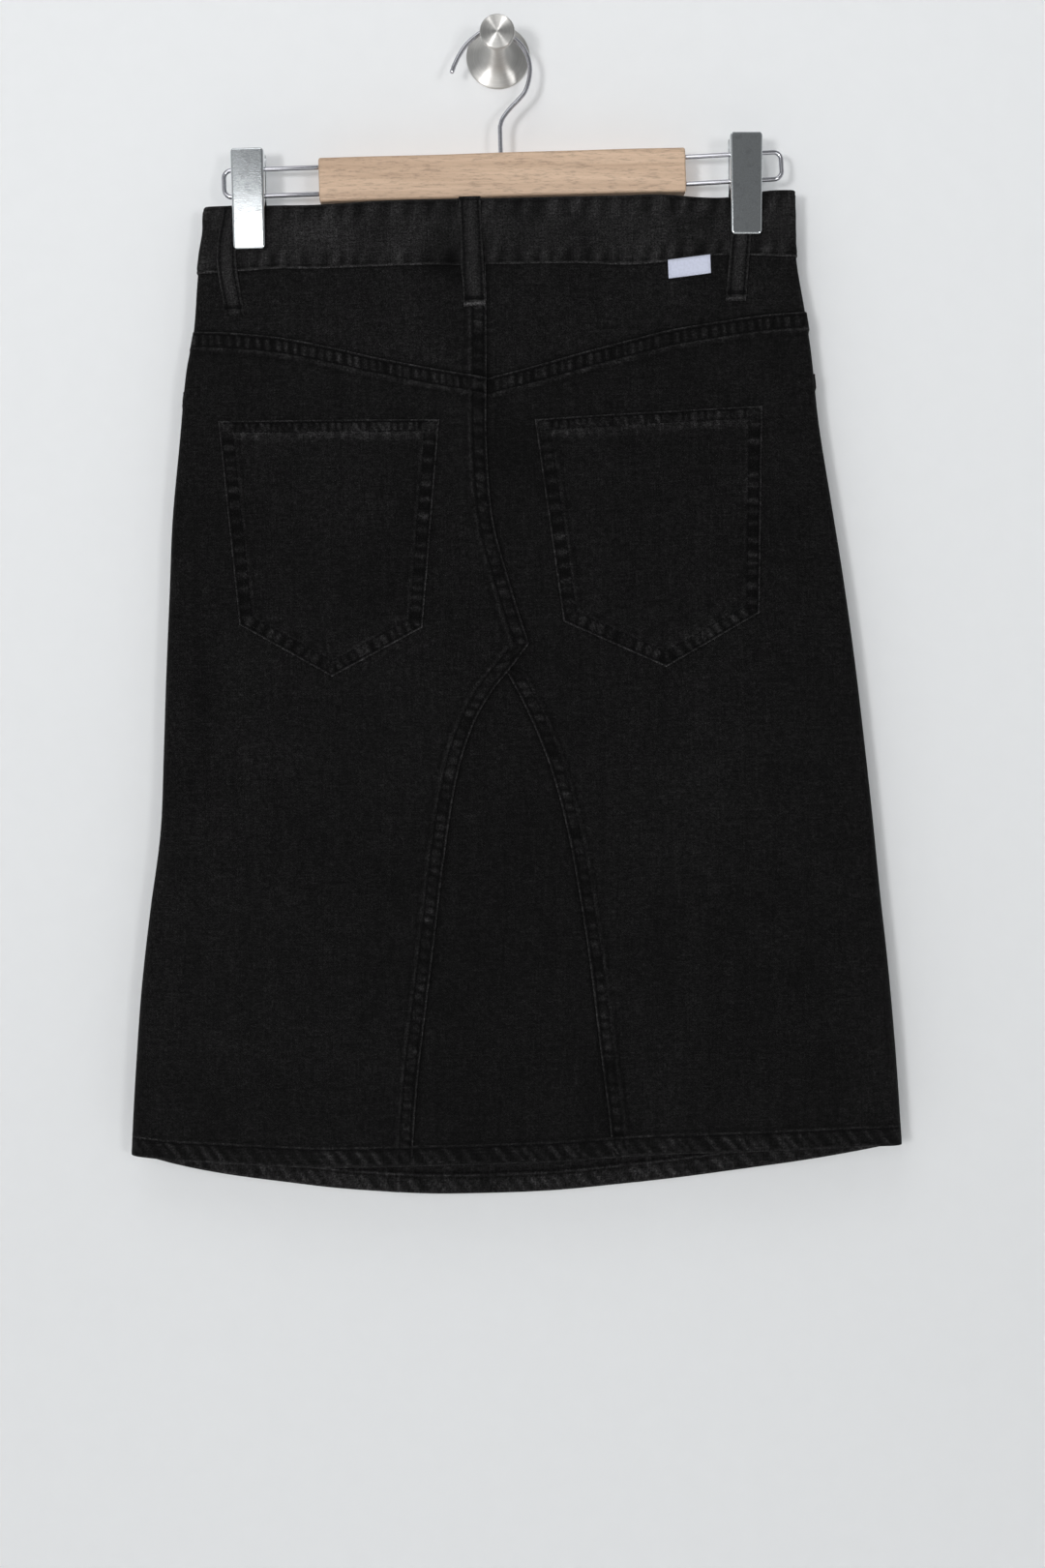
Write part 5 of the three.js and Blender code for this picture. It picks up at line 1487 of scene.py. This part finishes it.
def inside_strip(name, box, lift, thick, material):
    corners = (
        (box["left"], box["top"]), (box["right"], box["top"]),
        (box["right"], box["bottom"]), (box["left"], box["bottom"]),
    )
    (x, down), _ = patch_grid(
        corners, fine_shares(box["right"] - box["left"], 2), fine_shares(box["bottom"] - box["top"], 3)
    )
    edge = np.minimum.reduce(
        [line_distance(a, b, x, down)[0] for a, b in zip(corners, corners[1:] + corners[:1])]
    )
    worn = 1 + 0.6 * bell(edge - 0.5, 0.8)
    out = np.full_like(x, lift + thick)
    into = lift + round_edge(edge, 0.5) + 0.08 * noise_area(x, down, 5, 9, 501)
    return wall(name, "front", turn_at("front", x, down), down, out, into, (worn, worn), x, material)


def zip_teeth(lift):
    """Two rows of small meshing teeth down the middle of the zip's tape."""
    vertices, faces = [], []
    middle = (ZIP["left"] + ZIP["right"]) / 2
    for k, down in enumerate(np.arange(ZIP["top"] + 3, ZIP["bottom"] - 4, 1.25)):
        side = 1 if k % 2 else -1
        x = np.array([middle + side * 2.2, middle - side * 1.1, middle - side * 1.1, middle + side * 2.2])
        level = down + np.array([-0.5, -0.32, 0.32, 0.5])
        base = len(vertices)
        for rise, squeeze in ((0.0, 1.0), (-0.75, 1.0), (-1.1, 0.6)):
            px = middle + side * 0.55 + (x - middle - side * 0.55) * squeeze
            pdown = down + (level - down) * squeeze
            vertices += lifted_point(turn_at("front", px, pdown), pdown, np.full(4, lift + rise)).tolist()
        faces += ring_faces(3, 4, base)
        faces.append([base + 8, base + 9, base + 10, base + 11])
    return mesh_object("fly_zip_teeth", placed(np.array(vertices)), faces, ZIP_METAL)


# Metal and wood
def tube(name, route, radius, material, sides=20):
    """A round wire along a route of (x, z) in the hanger's middle plane, with rounded ends."""
    points = np.array([(x, 0.0, z) for x, z in route])
    come = np.diff(points, axis=0, prepend=2 * points[:1] - points[1:2])
    go = np.diff(points, axis=0, append=2 * points[-1:] - points[-2:-1])
    come /= np.linalg.norm(come, axis=1, keepdims=True)
    go /= np.linalg.norm(go, axis=1, keepdims=True)
    along = come + go
    along /= np.linalg.norm(along, axis=1, keepdims=True)
    stretch = 1 / np.sum(along * go, axis=1, keepdims=True)
    side = np.cross(along, (0.0, 1.0, 0.0)) * stretch
    angles = np.arange(sides) * math.tau / sides
    centres = np.concatenate([
        points[:1] - along[:1] * radius * 0.62, points[:1] - along[:1] * radius * 0.3, points,
        points[-1:] + along[-1:] * radius * 0.3, points[-1:] + along[-1:] * radius * 0.62,
    ])
    across = np.concatenate([side[:1], side[:1], side, side[-1:], side[-1:]])
    size = np.array([0.55, 0.88] + [1.0] * len(points) + [0.88, 0.55])
    ring = centres[:, None] + radius * size[:, None, None] * (
        np.cos(angles)[None, :, None] * np.array([0.0, 1.0, 0.0])
        + np.sin(angles)[None, :, None] * across[:, None]
    )
    return mesh_object(name, placed(ring.reshape(-1, 3)), capped_rings(len(centres), sides), material)


def arc_points(centre_x, centre_z, radius, start, end, count):
    return [
        (centre_x + radius * math.cos(a), centre_z + radius * math.sin(a))
        for a in np.radians(np.linspace(start, end, count))
    ]


def smooth_route(route, per_step=6):
    """A Catmull-Rom curve through a route's points."""
    p = np.array(
        [2 * np.array(route[0]) - np.array(route[1]), *route, 2 * np.array(route[-1]) - np.array(route[-2])]
    )
    out = []
    for i in range(1, len(p) - 2):
        for t in np.arange(per_step) / per_step:
            square = 2 * p[i - 1] - 5 * p[i] + 4 * p[i + 1] - p[i + 2]
            cube = 3 * p[i] - p[i - 1] - 3 * p[i + 1] + p[i + 2]
            out.append(0.5 * (2 * p[i] + (p[i + 1] - p[i - 1]) * t + square * t * t + cube * t**3))
    return [tuple(q) for q in out] + [tuple(p[-2])]


def hanger_hook():
    bar_top = BAR["top"] - HOOK_ABOVE_WAIST
    route = [(-25.5, -0.5), (-23.6, 4.2), (-20.4, 10.2), (-15.8, 16.6), (-10, 21.6)]
    route += arc_points(0, 0, HOOK_RADIUS, 104, -13, 10)
    route += [
        (22.6, -11.2), (20.4, -15.6), (16.8, -19.6), (12.7, -23.6), (9, -27.6), (6.2, -31.6), (4.8, -35.6)
    ]
    route += [(STEM_X, -40), (STEM_X, bar_top - 14)]
    lifted = [(x, z + HOOK_ABOVE_WAIST) for x, z in smooth_route(route)]
    piece = tube("hanger_hook_wire", lifted, WIRE_RADIUS, STEEL, 24)
    return stands_for(piece, "steel", "hanger_hook")


def lean_about(route, degrees, x, z):
    c, s = math.cos(math.radians(degrees)), math.sin(math.radians(degrees))
    return [(x + (px - x) * c - (pz - z) * s, z + (px - x) * s + (pz - z) * c) for px, pz in route]


def runner(name):
    line = RUNNERS[name]
    sign, upper, lower = line["sign"], line["upper"], line["lower"]
    inner = (BAR["left"] if sign < 0 else BAR["right"]) - sign * RUNNER_IN_BAR
    outer = line["end"] - sign * WIRE_RADIUS
    turns = np.linspace(0, math.pi / 2, 10)
    top = [
        (outer - sign * RUNNER_CORNER * (1 - math.sin(a)), upper - RUNNER_CORNER * (1 - math.cos(a)))
        for a in turns
    ]
    foot = [
        (outer - sign * RUNNER_CORNER * (1 - math.sin(a)), lower + RUNNER_CORNER * (1 - math.cos(a)))
        for a in turns
    ]
    route = lean_about(
        [(inner, upper), *top, *foot[::-1], (inner, lower)], line["lean"], line["end"], upper
    )
    piece = tube(f"runner_{name}_wire", route, WIRE_RADIUS, STEEL, 20)
    return stands_for(piece, "steel", f"runner_{name}")


def clip_spring(name):
    """A coiled spring between the runner's two wires."""
    clip, line = CLIPS[name], RUNNERS[name]
    radius = (line["upper"] - line["lower"]) / 2 - WIRE_RADIUS - 2 * SEAM_GAP - 0.8
    length = clip["foot_width"] - 6.6
    middle = ((line["upper"] + line["lower"]) / 2, clip["x"])
    turns = 7
    curve = bpy.data.curves.new(f"clip_{name}_coil", "CURVE")
    curve.dimensions = "3D"
    curve.bevel_depth = 0.0008
    curve.bevel_resolution = 3
    curve.use_fill_caps = True
    points = []
    for t in np.linspace(0, 1, turns * 24 + 1):
        a = t * turns * math.tau + math.pi / 2
        points.append(
            (middle[1] + (t - 0.5) * length, radius * math.cos(a), middle[0] + radius * math.sin(a))
        )
    flat = lean_about([(x, z) for x, _, z in points], line["lean"], line["end"], line["upper"])
    places = placed([(x, y, z) for (x, z), (_, y, _) in zip(flat, points)])
    spline = curve.splines.new("POLY")
    spline.points.add(len(places) - 1)
    spline.points.foreach_set("co", np.concatenate([places, np.ones((len(places), 1))], axis=1).ravel())
    curve.materials.append(STEEL)
    piece = bpy.data.objects.new(f"clip_{name}_coil", curve)
    bpy.context.scene.collection.objects.link(piece)
    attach(piece, "root")
    return stands_for(piece, "steel", f"clip_{name}_spring")


def clip_jaw(name, which):
    """One pressed jaw: a shallow tray with a softly bowed face, rounded edges and flanges to the wires."""
    clip = CLIPS[name]
    top, foot = clip["top"], clip["foot"]
    face_side = "back" if which == "outer" else "front"
    inner_edge = clip["x"] - clip["sign"] * clip["foot_width"] / 2
    lip = section("fold", -foot) + WAISTBAND_THICK / 2 + SEAM_GAP + swell(face_side, inner_edge, -foot)
    if which == "outer":
        lip += LOOP_THICK + SEAM_GAP
    face = ((foot, lip + CLIP_SHEET), (4, 9.75), (top, 9.9))
    flange = ((foot, lip), (-1, lip), (4, WIRE_RADIUS + SEAM_GAP), (31, WIRE_RADIUS + SEAM_GAP), (top, 5))
    near = np.array([0, 0.06, 0.2, 0.4, 0.7, 1.05, 1.5, 2.1])
    up = np.concatenate([foot + near, np.linspace(foot + 2.8, top - 2.8, 34), top - near[::-1]])
    across = np.concatenate([near / 10, np.linspace(0.28, 1.72, 13), 2 - near[::-1] / 10]) - 1

    def tray(inset):
        low, high = foot + inset, top - inset
        z = np.clip(up, low, high)
        radius = CLIP_CORNER - inset
        from_end = np.clip(np.minimum(z - low, high - z), 0, radius)
        half = lerp(clip["foot_width"], clip["top_width"], (z - foot) / (top - foot)) / 2 - inset
        half = half - radius + np.sqrt(np.maximum(0, radius**2 - (radius - from_end) ** 2))
        x = across[None, :] * half[:, None]
        z = np.repeat(z[:, None], len(across), axis=1)
        edge = np.minimum(half[:, None] - np.abs(x), np.minimum(z - low, high - z))
        bow = 0.2 * ((z - (top + foot) / 2) / 32) ** 2 + 0.04 * (x / 10) ** 2 - 0.2
        y = smooth(face, z) - bow - round_edge(edge, 1.1) - inset
        return np.stack([x, y, z], axis=-1)

    outer, inner = tray(0.0), tray(CLIP_SHEET)
    rows, columns = outer.shape[:2]
    at = np.arange(rows * columns).reshape(rows, columns)
    rim = np.concatenate([at[0, :-1], at[:-1, -1], at[-1, :0:-1], at[:0:-1, 0]])
    foot_of = {}
    points = [outer.reshape(-1, 3), inner.reshape(-1, 3)]
    for key, grid in (("outer", points[0]), ("inner", points[1])):
        ring = grid[rim].copy()
        ring[:, 1] = np.interp(ring[:, 2], [z for z, _ in flange], [y for _, y in flange])
        foot_of[key] = sum(len(p) for p in points) + np.arange(len(rim))
        points.append(ring)
    nxt = np.roll(np.arange(len(rim)), -1)
    inner_rim = rim + rows * columns
    quads = [
        np.stack([at[:-1, :-1], at[:-1, 1:], at[1:, 1:], at[1:, :-1]], axis=-1).reshape(-1, 4),
        rows * columns
        + np.stack([at[:-1, :-1], at[1:, :-1], at[1:, 1:], at[:-1, 1:]], axis=-1).reshape(-1, 4),
        np.stack([rim, foot_of["outer"], foot_of["outer"][nxt], rim[nxt]], axis=-1),
        np.stack(
            [foot_of["outer"], foot_of["inner"], foot_of["inner"][nxt], foot_of["outer"][nxt]], axis=-1
        ),
        np.stack([foot_of["inner"], inner_rim, inner_rim[nxt], foot_of["inner"][nxt]], axis=-1),
    ]
    points = np.concatenate(points)
    x, y, z = points[:, 0] + clip["x"], points[:, 1] * (-1 if which == "outer" else 1), points[:, 2]
    x, z = np.array(lean_about(list(zip(x, z)), clip["lean"], clip["x"], 0)).T
    faces = np.concatenate(quads)
    faces = faces if which == "outer" else faces[:, ::-1]
    piece = mesh_object(
        f"clip_{name}_{which}_plate", placed(np.stack([x, y, z], axis=1)), faces, CLIP_STEEL,
        smooth_angle=40
    )
    return stands_for(piece, "steel", f"clip_{name}_{which}_jaw")


def hanger_bar():
    """The wooden bar: a long block with rounded edges and softly rounded ends."""
    radius, end_radius = 2.0, 1.4
    half_depth, middle = BAR["depth"] / 2, (BAR["bottom"] + BAR["top"]) / 2
    half_height = (BAR["top"] - BAR["bottom"]) / 2
    corners = []
    for sign_y, sign_z, start in ((1, 1, 0), (-1, 1, 90), (-1, -1, 180), (1, -1, 270)):
        centre = (sign_y * (half_depth - radius), sign_z * (half_height - radius))
        corners += arc_points(*centre, radius, start, start + 90, 9)
    section_ring = np.array(corners)
    stations = []
    for sign, edge in ((-1, BAR["left"]), (1, BAR["right"])):
        turns = np.linspace(0, math.pi / 2, 7)
        stations.append([
            (edge - sign * end_radius * (1 - math.sin(a)), end_radius * (1 - math.cos(a))) for a in turns
        ])
    straight = [(x, 0.0) for x in np.linspace(BAR["left"] + 8, BAR["right"] - 8, 40)]
    profile = stations[0][::-1] + straight + stations[1]
    rings = []
    for x, inset in profile:
        ring = section_ring * np.array(
            [(half_depth - inset) / half_depth, (half_height - inset) / half_height]
        )
        bend = 0.12 * math.sin(x / 31) + 0.08 * math.sin(x / 13 + 1)
        rings.append(np.stack([np.full(len(ring), x), -ring[:, 0], ring[:, 1] + middle + bend], axis=1))
    faces = capped_rings(len(rings), len(section_ring))
    piece = mesh_object("hanger_bar_wood", placed(np.concatenate(rings)), faces, WOOD)
    return stands_for(piece, "wood", "hanger_bar")


def turned(name, profile, sides, material, place):
    """A lathed form from rows of (radius, height). place turns its points into metres."""
    angles = np.arange(sides) * math.tau / sides
    rings = [
        np.stack([r * np.cos(angles), np.full(sides, h), r * np.sin(angles)], axis=1)
        for r, h in profile[1:-1]
    ]
    points = np.concatenate([[(0, profile[0][1], 0)], *rings, [(0, profile[-1][1], 0)]])
    count, last = len(rings), len(points) - 1
    faces = [[0, 1 + (k + 1) % sides, 1 + k] for k in range(sides)]
    faces += ring_faces(count, sides, 1)
    base = 1 + (count - 1) * sides
    faces += [[base + k, base + (k + 1) % sides, last] for k in range(sides)]
    return mesh_object(name, place(points), faces, material, smooth_angle=35)


def wall_knob():
    flare = [(20.2, 2.7), (16, 3.9), (12, 5.6), (9, 8.5), (7.4, 13), (6.6, 19)]
    neck = [(NECK_RADIUS, 26), (6, 32), (6, 38), (6.4, 45.6)]
    flank = smooth_route([*flare, *neck], 6)
    head = [
        (6.4, 45.6), (7.6, 46.6), (10.5, 47.6), (11.0, 48.1),
        (11.1, 48.5), (11.1, 50.6), (11.0, 51.0), (10.6, 51.4),
    ]
    face = [(10.0, 51.5), (9.4, 51.35), (4.0, 51.3), (3.4, 51.4), (2.2, 51.4), (0, 51.4)]
    rim = [(0, 0), (19.6, 0), (20.3, 0.15), (20.75, 0.8), (20.8, 1.4), (20.75, 2), (20.5, 2.5)]
    profile = rim + flank + head[1:] + face
    piece = turned("wall_knob_metal", profile, 96, KNOB_STEEL, lambda p: p * np.array([1, -1, 1]) / 1000)
    return stands_for(piece, "knob_steel", "wall_knob")


def waist_button():
    level = waist_top("front", BUTTON["x"]) + WAISTBAND_HEIGHT / 2
    turn = turn_at("front", BUTTON["x"], level)
    foot = lifted_point(turn, level, WAISTBAND_THICK / 2 + 0.1)
    outward = lifted_point(turn, level, 1.0) - cloth_point(turn, level)
    across = np.cross(outward, (0, 0, 1.0))
    across /= np.linalg.norm(across)
    up = np.cross(across, outward)
    r, thick = BUTTON["radius"], BUTTON["thick"]
    profile = [
        (0, 0), (r - 2.4, 0), (r - 1.8, 0.7), (r - 0.2, 1.2),
        (r, 1.6), (r, thick - 0.7), (r - 0.4, thick - 0.15),
    ]
    profile += [
        (r - 0.9, thick), (r - 1.6, thick - 0.1), (r - 2.2, thick - 0.6),
        (3.6, thick - 0.75), (2.4, thick - 0.35),
    ]
    profile += [(1.2, thick - 0.2), (0, thick - 0.2)]

    def place(points):
        return placed(foot + points[:, :1] * across + points[:, 1:2] * outward + points[:, 2:] * up)

    piece = turned("waist_button_metal", profile, 48, BUTTON_METAL, place)
    return stands_for(piece, "button_metal", "waist_button")


# Putting the pieces together
def seam_path_down(rows, offset, start, end):
    """A line at a distance beside an upright seam. offset is to the right when above 0."""
    levels = np.arange(start, end, 2.0)
    edge = smooth(rows, levels)
    slope = np.gradient(edge, levels)
    return np.stack([edge + offset * np.hypot(1, slope), levels], axis=1)


def seam_path_across(edge, offset, start, end):
    places = np.arange(start, end, 2.0)
    levels = edge(places)
    slope = np.gradient(levels, places)
    return np.stack([places, levels + offset * np.hypot(1, slope)], axis=1)


def outer_height(dress):
    def height(x, down):
        both, outer, *_ = dress(x, down)
        return DENIM / 2 + both + outer

    return height


def sewn_rows(name, side, rows):
    """One object with all the rows of stitches through a piece. rows lists (path, height)."""
    sewing = Seamstress(name, side)
    for path, height in rows:
        sewing.sew(path, height)
    return sewing.finish(THREAD)


def declare(piece, nodes):
    stands_for(piece, "denim", *nodes)


def dress_back():
    left_yoke, right_yoke, left, right, gusset = back_cloth()
    left_height, right_height = outer_height(dress_left_panel), outer_height(dress_right_panel)
    gusset_height = outer_height(dress_gusset)
    left_rows = [(seam_path_across(yoke_edge, d, -194, -11), left_height) for d in YOKE_LOOK["rows"]]
    left_rows += [(seam_path_down(CENTRE_BACK, -d, 119, 286), left_height) for d in CENTRE_LOOK["rows"]]
    left_rows += [
        (seam_path_down(BACK_GUSSET_LEFT, -d, 290, 611), left_height) for d in LEFT_GUSSET_LOOK["rows"]
    ]
    left_rows += [(seam_path_across(back_hem, -HEM_STITCH, -246, -72), left_height)]
    right_rows = [(seam_path_across(yoke_edge, d, -3, 195), right_height) for d in YOKE_LOOK["rows"]]
    right_rows += [
        (seam_path_down(BACK_GUSSET_RIGHT, d, 309, 611), right_height) for d in RIGHT_GUSSET_LOOK["rows"]
    ]
    right_rows += [(seam_path_across(back_hem, -HEM_STITCH, 60, 240), right_height)]
    yoke_rows = [
        (seam_path_down(CENTRE_BACK, -d, 45, 110), outer_height(dress_left_yoke))
        for d in CENTRE_LOOK["rows"]
    ]
    left_thread = sewn_rows("back_panel_left_thread", "back", left_rows)
    right_thread = sewn_rows("back_panel_right_thread", "back", right_rows)
    gusset_thread = sewn_rows(
        "back_gusset_thread", "back", [(seam_path_across(back_hem, -HEM_STITCH, -67, 55), gusset_height)]
    )
    yoke_thread = sewn_rows("back_yoke_left_thread", "back", yoke_rows)
    declare(left_yoke, ["back_yoke_left"])
    declare(right_yoke, ["back_yoke_right"])
    declare(left, ["back_panel_left"])
    declare(right, ["back_panel_right"])
    declare(gusset, ["back_gusset"])
    for k, (name, corners) in enumerate(BACK_POCKETS.items()):
        piece, thread = back_pocket(name, corners, 601 + 50 * k)
        declare(
            piece, [name],
        )


def dress_waist():
    band = waistband()
    declare(
        band, ["waistband_back", "waistband_front_left", "waistband_front_right"],
    )
    for name, row in BELT_LOOPS.items():
        piece, thread = belt_loop(name, *row)
        declare(piece, [name])
    side_tab()
    waist_button()


def dress_front_side():
    left, right, gusset, facing_left, facing_right = front_cloth()
    heights = {sign: outer_height(dress_front(sign)) for sign in (-1, 1)}
    rows = {-1: [], 1: []}
    for sign in (-1, 1):
        ends = (-198, -82) if sign < 0 else (88, 196)
        seam = FRONT_GUSSET_LEFT if sign < 0 else FRONT_GUSSET_RIGHT
        hem_ends = (-246, -80) if sign < 0 else (72, 240)
        rows[sign] += [(seam_path_across(front_top, d, *ends), heights[sign]) for d in MOUTH_LOOK["rows"]]
        rows[sign] += [
            (seam_path_down(seam, sign * d, 290, 628), heights[sign]) for d in FRONT_LOOK["rows"]
        ]
        rows[sign] += [(seam_path_across(front_hem, -HEM_STITCH, *hem_ends), heights[sign])]
    wide, foot, bend = FLY_STITCH["wide"], FLY_STITCH["foot"], FLY_STITCH["bend"]
    curved = foot - bend * np.cos(np.linspace(0, math.pi / 2, 12))
    levels = np.concatenate([np.arange(66, foot - bend, 4.0), curved])
    share = np.clip((levels - foot + bend) / bend, 0, 1)
    for shift in FLY_STITCH["shifts"]:
        line = CENTRE_FRONT_X - (wide - shift) * np.sqrt(1 - share**2)
        rows[-1].append((np.stack([line, levels], axis=1), heights[-1]))
    rows[-1].append(([(CENTRE_FRONT_X - 1.9, 66), (CENTRE_FRONT_X - 1.9, 282)], heights[-1]))
    left_thread = sewn_rows("front_panel_left_thread", "front", rows[-1])
    right_thread = sewn_rows("front_panel_right_thread", "front", rows[1])
    gusset_row = [(seam_path_across(front_hem, -HEM_STITCH, -73, 66), outer_height(dress_front_gusset))]
    gusset_thread = sewn_rows("front_gusset_thread", "front", gusset_row)
    declare(left, ["front_panel_left"])
    declare(right, ["front_panel_right"])
    declare(gusset, ["front_gusset"])
    declare(facing_left, ["front_pocket_facing_left"])
    declare(facing_right, ["front_pocket_facing_right"])
    lift = -DENIM / 2 - SEAM_GAP - 1.2
    tape = inside_strip("fly_zip_tape", ZIP, lift, 1.2, ZIP_CLOTH)
    stands_for(tape, "zip_tape", "fly_zip")
    teeth = zip_teeth(lift)
    shield = inside_strip("fly_shield_cloth", SHIELD, lift - SEAM_GAP - DENIM, DENIM, DENIM_CLOTH)
    declare(shield, ["fly_shield"])


def dress_hanger():
    wall_knob()
    hanger_hook()
    hanger_bar()
    for name in RUNNERS:
        runner(name)
        clip_spring(name)
        for which in ("outer", "wall"):
            clip_jaw(name, which)


# The room, the lights and the camera
def plain_sheet(name, corners, material):
    mesh = bpy.data.meshes.new(name)
    mesh.from_pydata(corners, [], [(0, 1, 2, 3)])
    mesh.materials.append(material)
    stage = bpy.data.objects.new(name, mesh)
    bpy.context.scene.collection.objects.link(stage)
    return stage


def paint_material(name, colour, one_sided, painted_top_light=1.0):
    """Matt paint. The wall is painted on its room side only, so that the front shows from behind it. The
    wall's colour grows paler towards the top: painted light.
    """
    n = Nodes(name)
    place = n.add("ShaderNodeTexCoord").outputs["Object"]
    roller = n.noise(place, 60.0, 3.0)
    height = n.add("ShaderNodeSeparateXYZ", Vector=place).outputs["Z"]
    # Painted light: the colour is paler towards the top of the wall.
    tone = n.math(
        "MULTIPLY", n.spread(roller, 0.3, 0.7, 0.995, 1.005), n.spread(height, -0.75, 0.05, 1.0, painted_top_light)
    )
    n.set(Base_Color=n.tinted(colour, tone), Roughness=0.9)
    n.set(Specular_IOR_Level=0.2, Normal=n.bump(roller, 0.04, 0.001))
    if one_sided:
        back = n.tree.nodes.new("ShaderNodeNewGeometry").outputs["Backfacing"]
        clear = n.tree.nodes.new("ShaderNodeBsdfTransparent").outputs[0]
        mix = n.add("ShaderNodeMixShader", Fac=back)
        n.put(mix.inputs[1], n.shader.outputs[0])
        n.put(mix.inputs[2], clear)
        n.put(n.tree.nodes["Material Output"].inputs["Surface"], mix.outputs[0])
    return n.material


def area_light(name, place, aim, size, power):
    light = bpy.data.lights.new(name, "AREA")
    light.shape, light.size, light.energy = "DISK", size, power
    holder = bpy.data.objects.new(name, light)
    holder.location = place
    holder.rotation_euler = (Vector(aim) - Vector(place)).to_track_quat("-Z", "Y").to_euler()
    bpy.context.scene.collection.objects.link(holder)


def soft_room():
    """The room's own light by direction: dimmer upwards, paler on the left, with one dark corner."""
    n = Nodes("soft_room", "Background")
    bpy.context.scene.world = n.material
    way = n.add("ShaderNodeTexCoord").outputs["Generated"]
    parts = n.add("ShaderNodeSeparateXYZ", Vector=way)
    height = n.spread(parts.outputs["Z"], 0.3, 0.9, 0.42, 0.24)
    across = n.spread(parts.outputs["X"], -1.0, 1.0, 1.25, 0.75)
    off = n.add("ShaderNodeVectorMath", {"operation": "DISTANCE"})
    n.put(off.inputs[0], way)
    off.inputs[1].default_value = (0.2, -0.94, 0.27)
    dim = n.spread(off.outputs["Value"], 0.16, 0.42, 0.42, 1.0)
    n.set(Color=(0.97, 0.99, 1.0, 1), Strength=n.math("MULTIPLY", n.math("MULTIPLY", height, across), dim))


def studio():
    wall_paint = paint_material("pale_wall", (0.775, 0.785, 0.797), True, 1.14)
    floor_paint = paint_material("pale_floor", (0.78, 0.78, 0.77), False)
    half, floor, ceiling, behind_wall = 4, -1.75, 2.5, 0.0003
    corners = [
        (x, behind_wall, z) for x, z in ((-half, floor), (half, floor), (half, ceiling), (-half, ceiling))
    ]
    # The lamp behind the wall lights the skirt's front through it, for the views from there.
    plain_sheet("wall", corners, wall_paint).visible_shadow = False
    plain_sheet(
        "floor", [(-half, -6, floor), (half, -6, floor), (half, 4, floor), (-half, 4, floor)], floor_paint
    )
    soft_room()
    middle = (0.0, 0.0, -0.45)
    area_light("key", (-0.5, -3.0, -0.14), middle, 1.4, 13.3)
    area_light("panel", (-0.6, -3.05, 0.55), (-0.16, 0.0, -0.1), 0.5, 0.3)
    area_light("left_lamp", (-0.85, -2.8, -0.5), middle, 0.36, 19.8)
    area_light("right_lamp", (0.95, -2.8, -0.5), middle, 0.4, 10)
    area_light("ceiling", (-0.4, -1.6, 1.3), (0.0, 0.0, -0.2), 1.2, 4.5)
    area_light("behind", (0.6, 2.4, 0.6), (0.0, 0.0, -0.4), 1.2, 55)


def photo_camera():
    camera = bpy.data.cameras.new("photo_camera")
    camera.lens, camera.sensor_width, camera.sensor_fit = 50, 36, "AUTO"
    camera.clip_start, camera.clip_end = 0.05, 30
    holder = bpy.data.objects.new("photo_camera", camera)
    holder.location = (0.016, -1.425, -0.475)
    holder.rotation_euler = (math.pi / 2, 0, 0)
    bpy.context.scene.collection.objects.link(holder)
    bpy.context.scene.camera = holder


bpy.context.scene.view_settings.view_transform = "Standard"
photo_camera()
studio()
dress_hanger()
dress_waist()
dress_back()
dress_front_side()
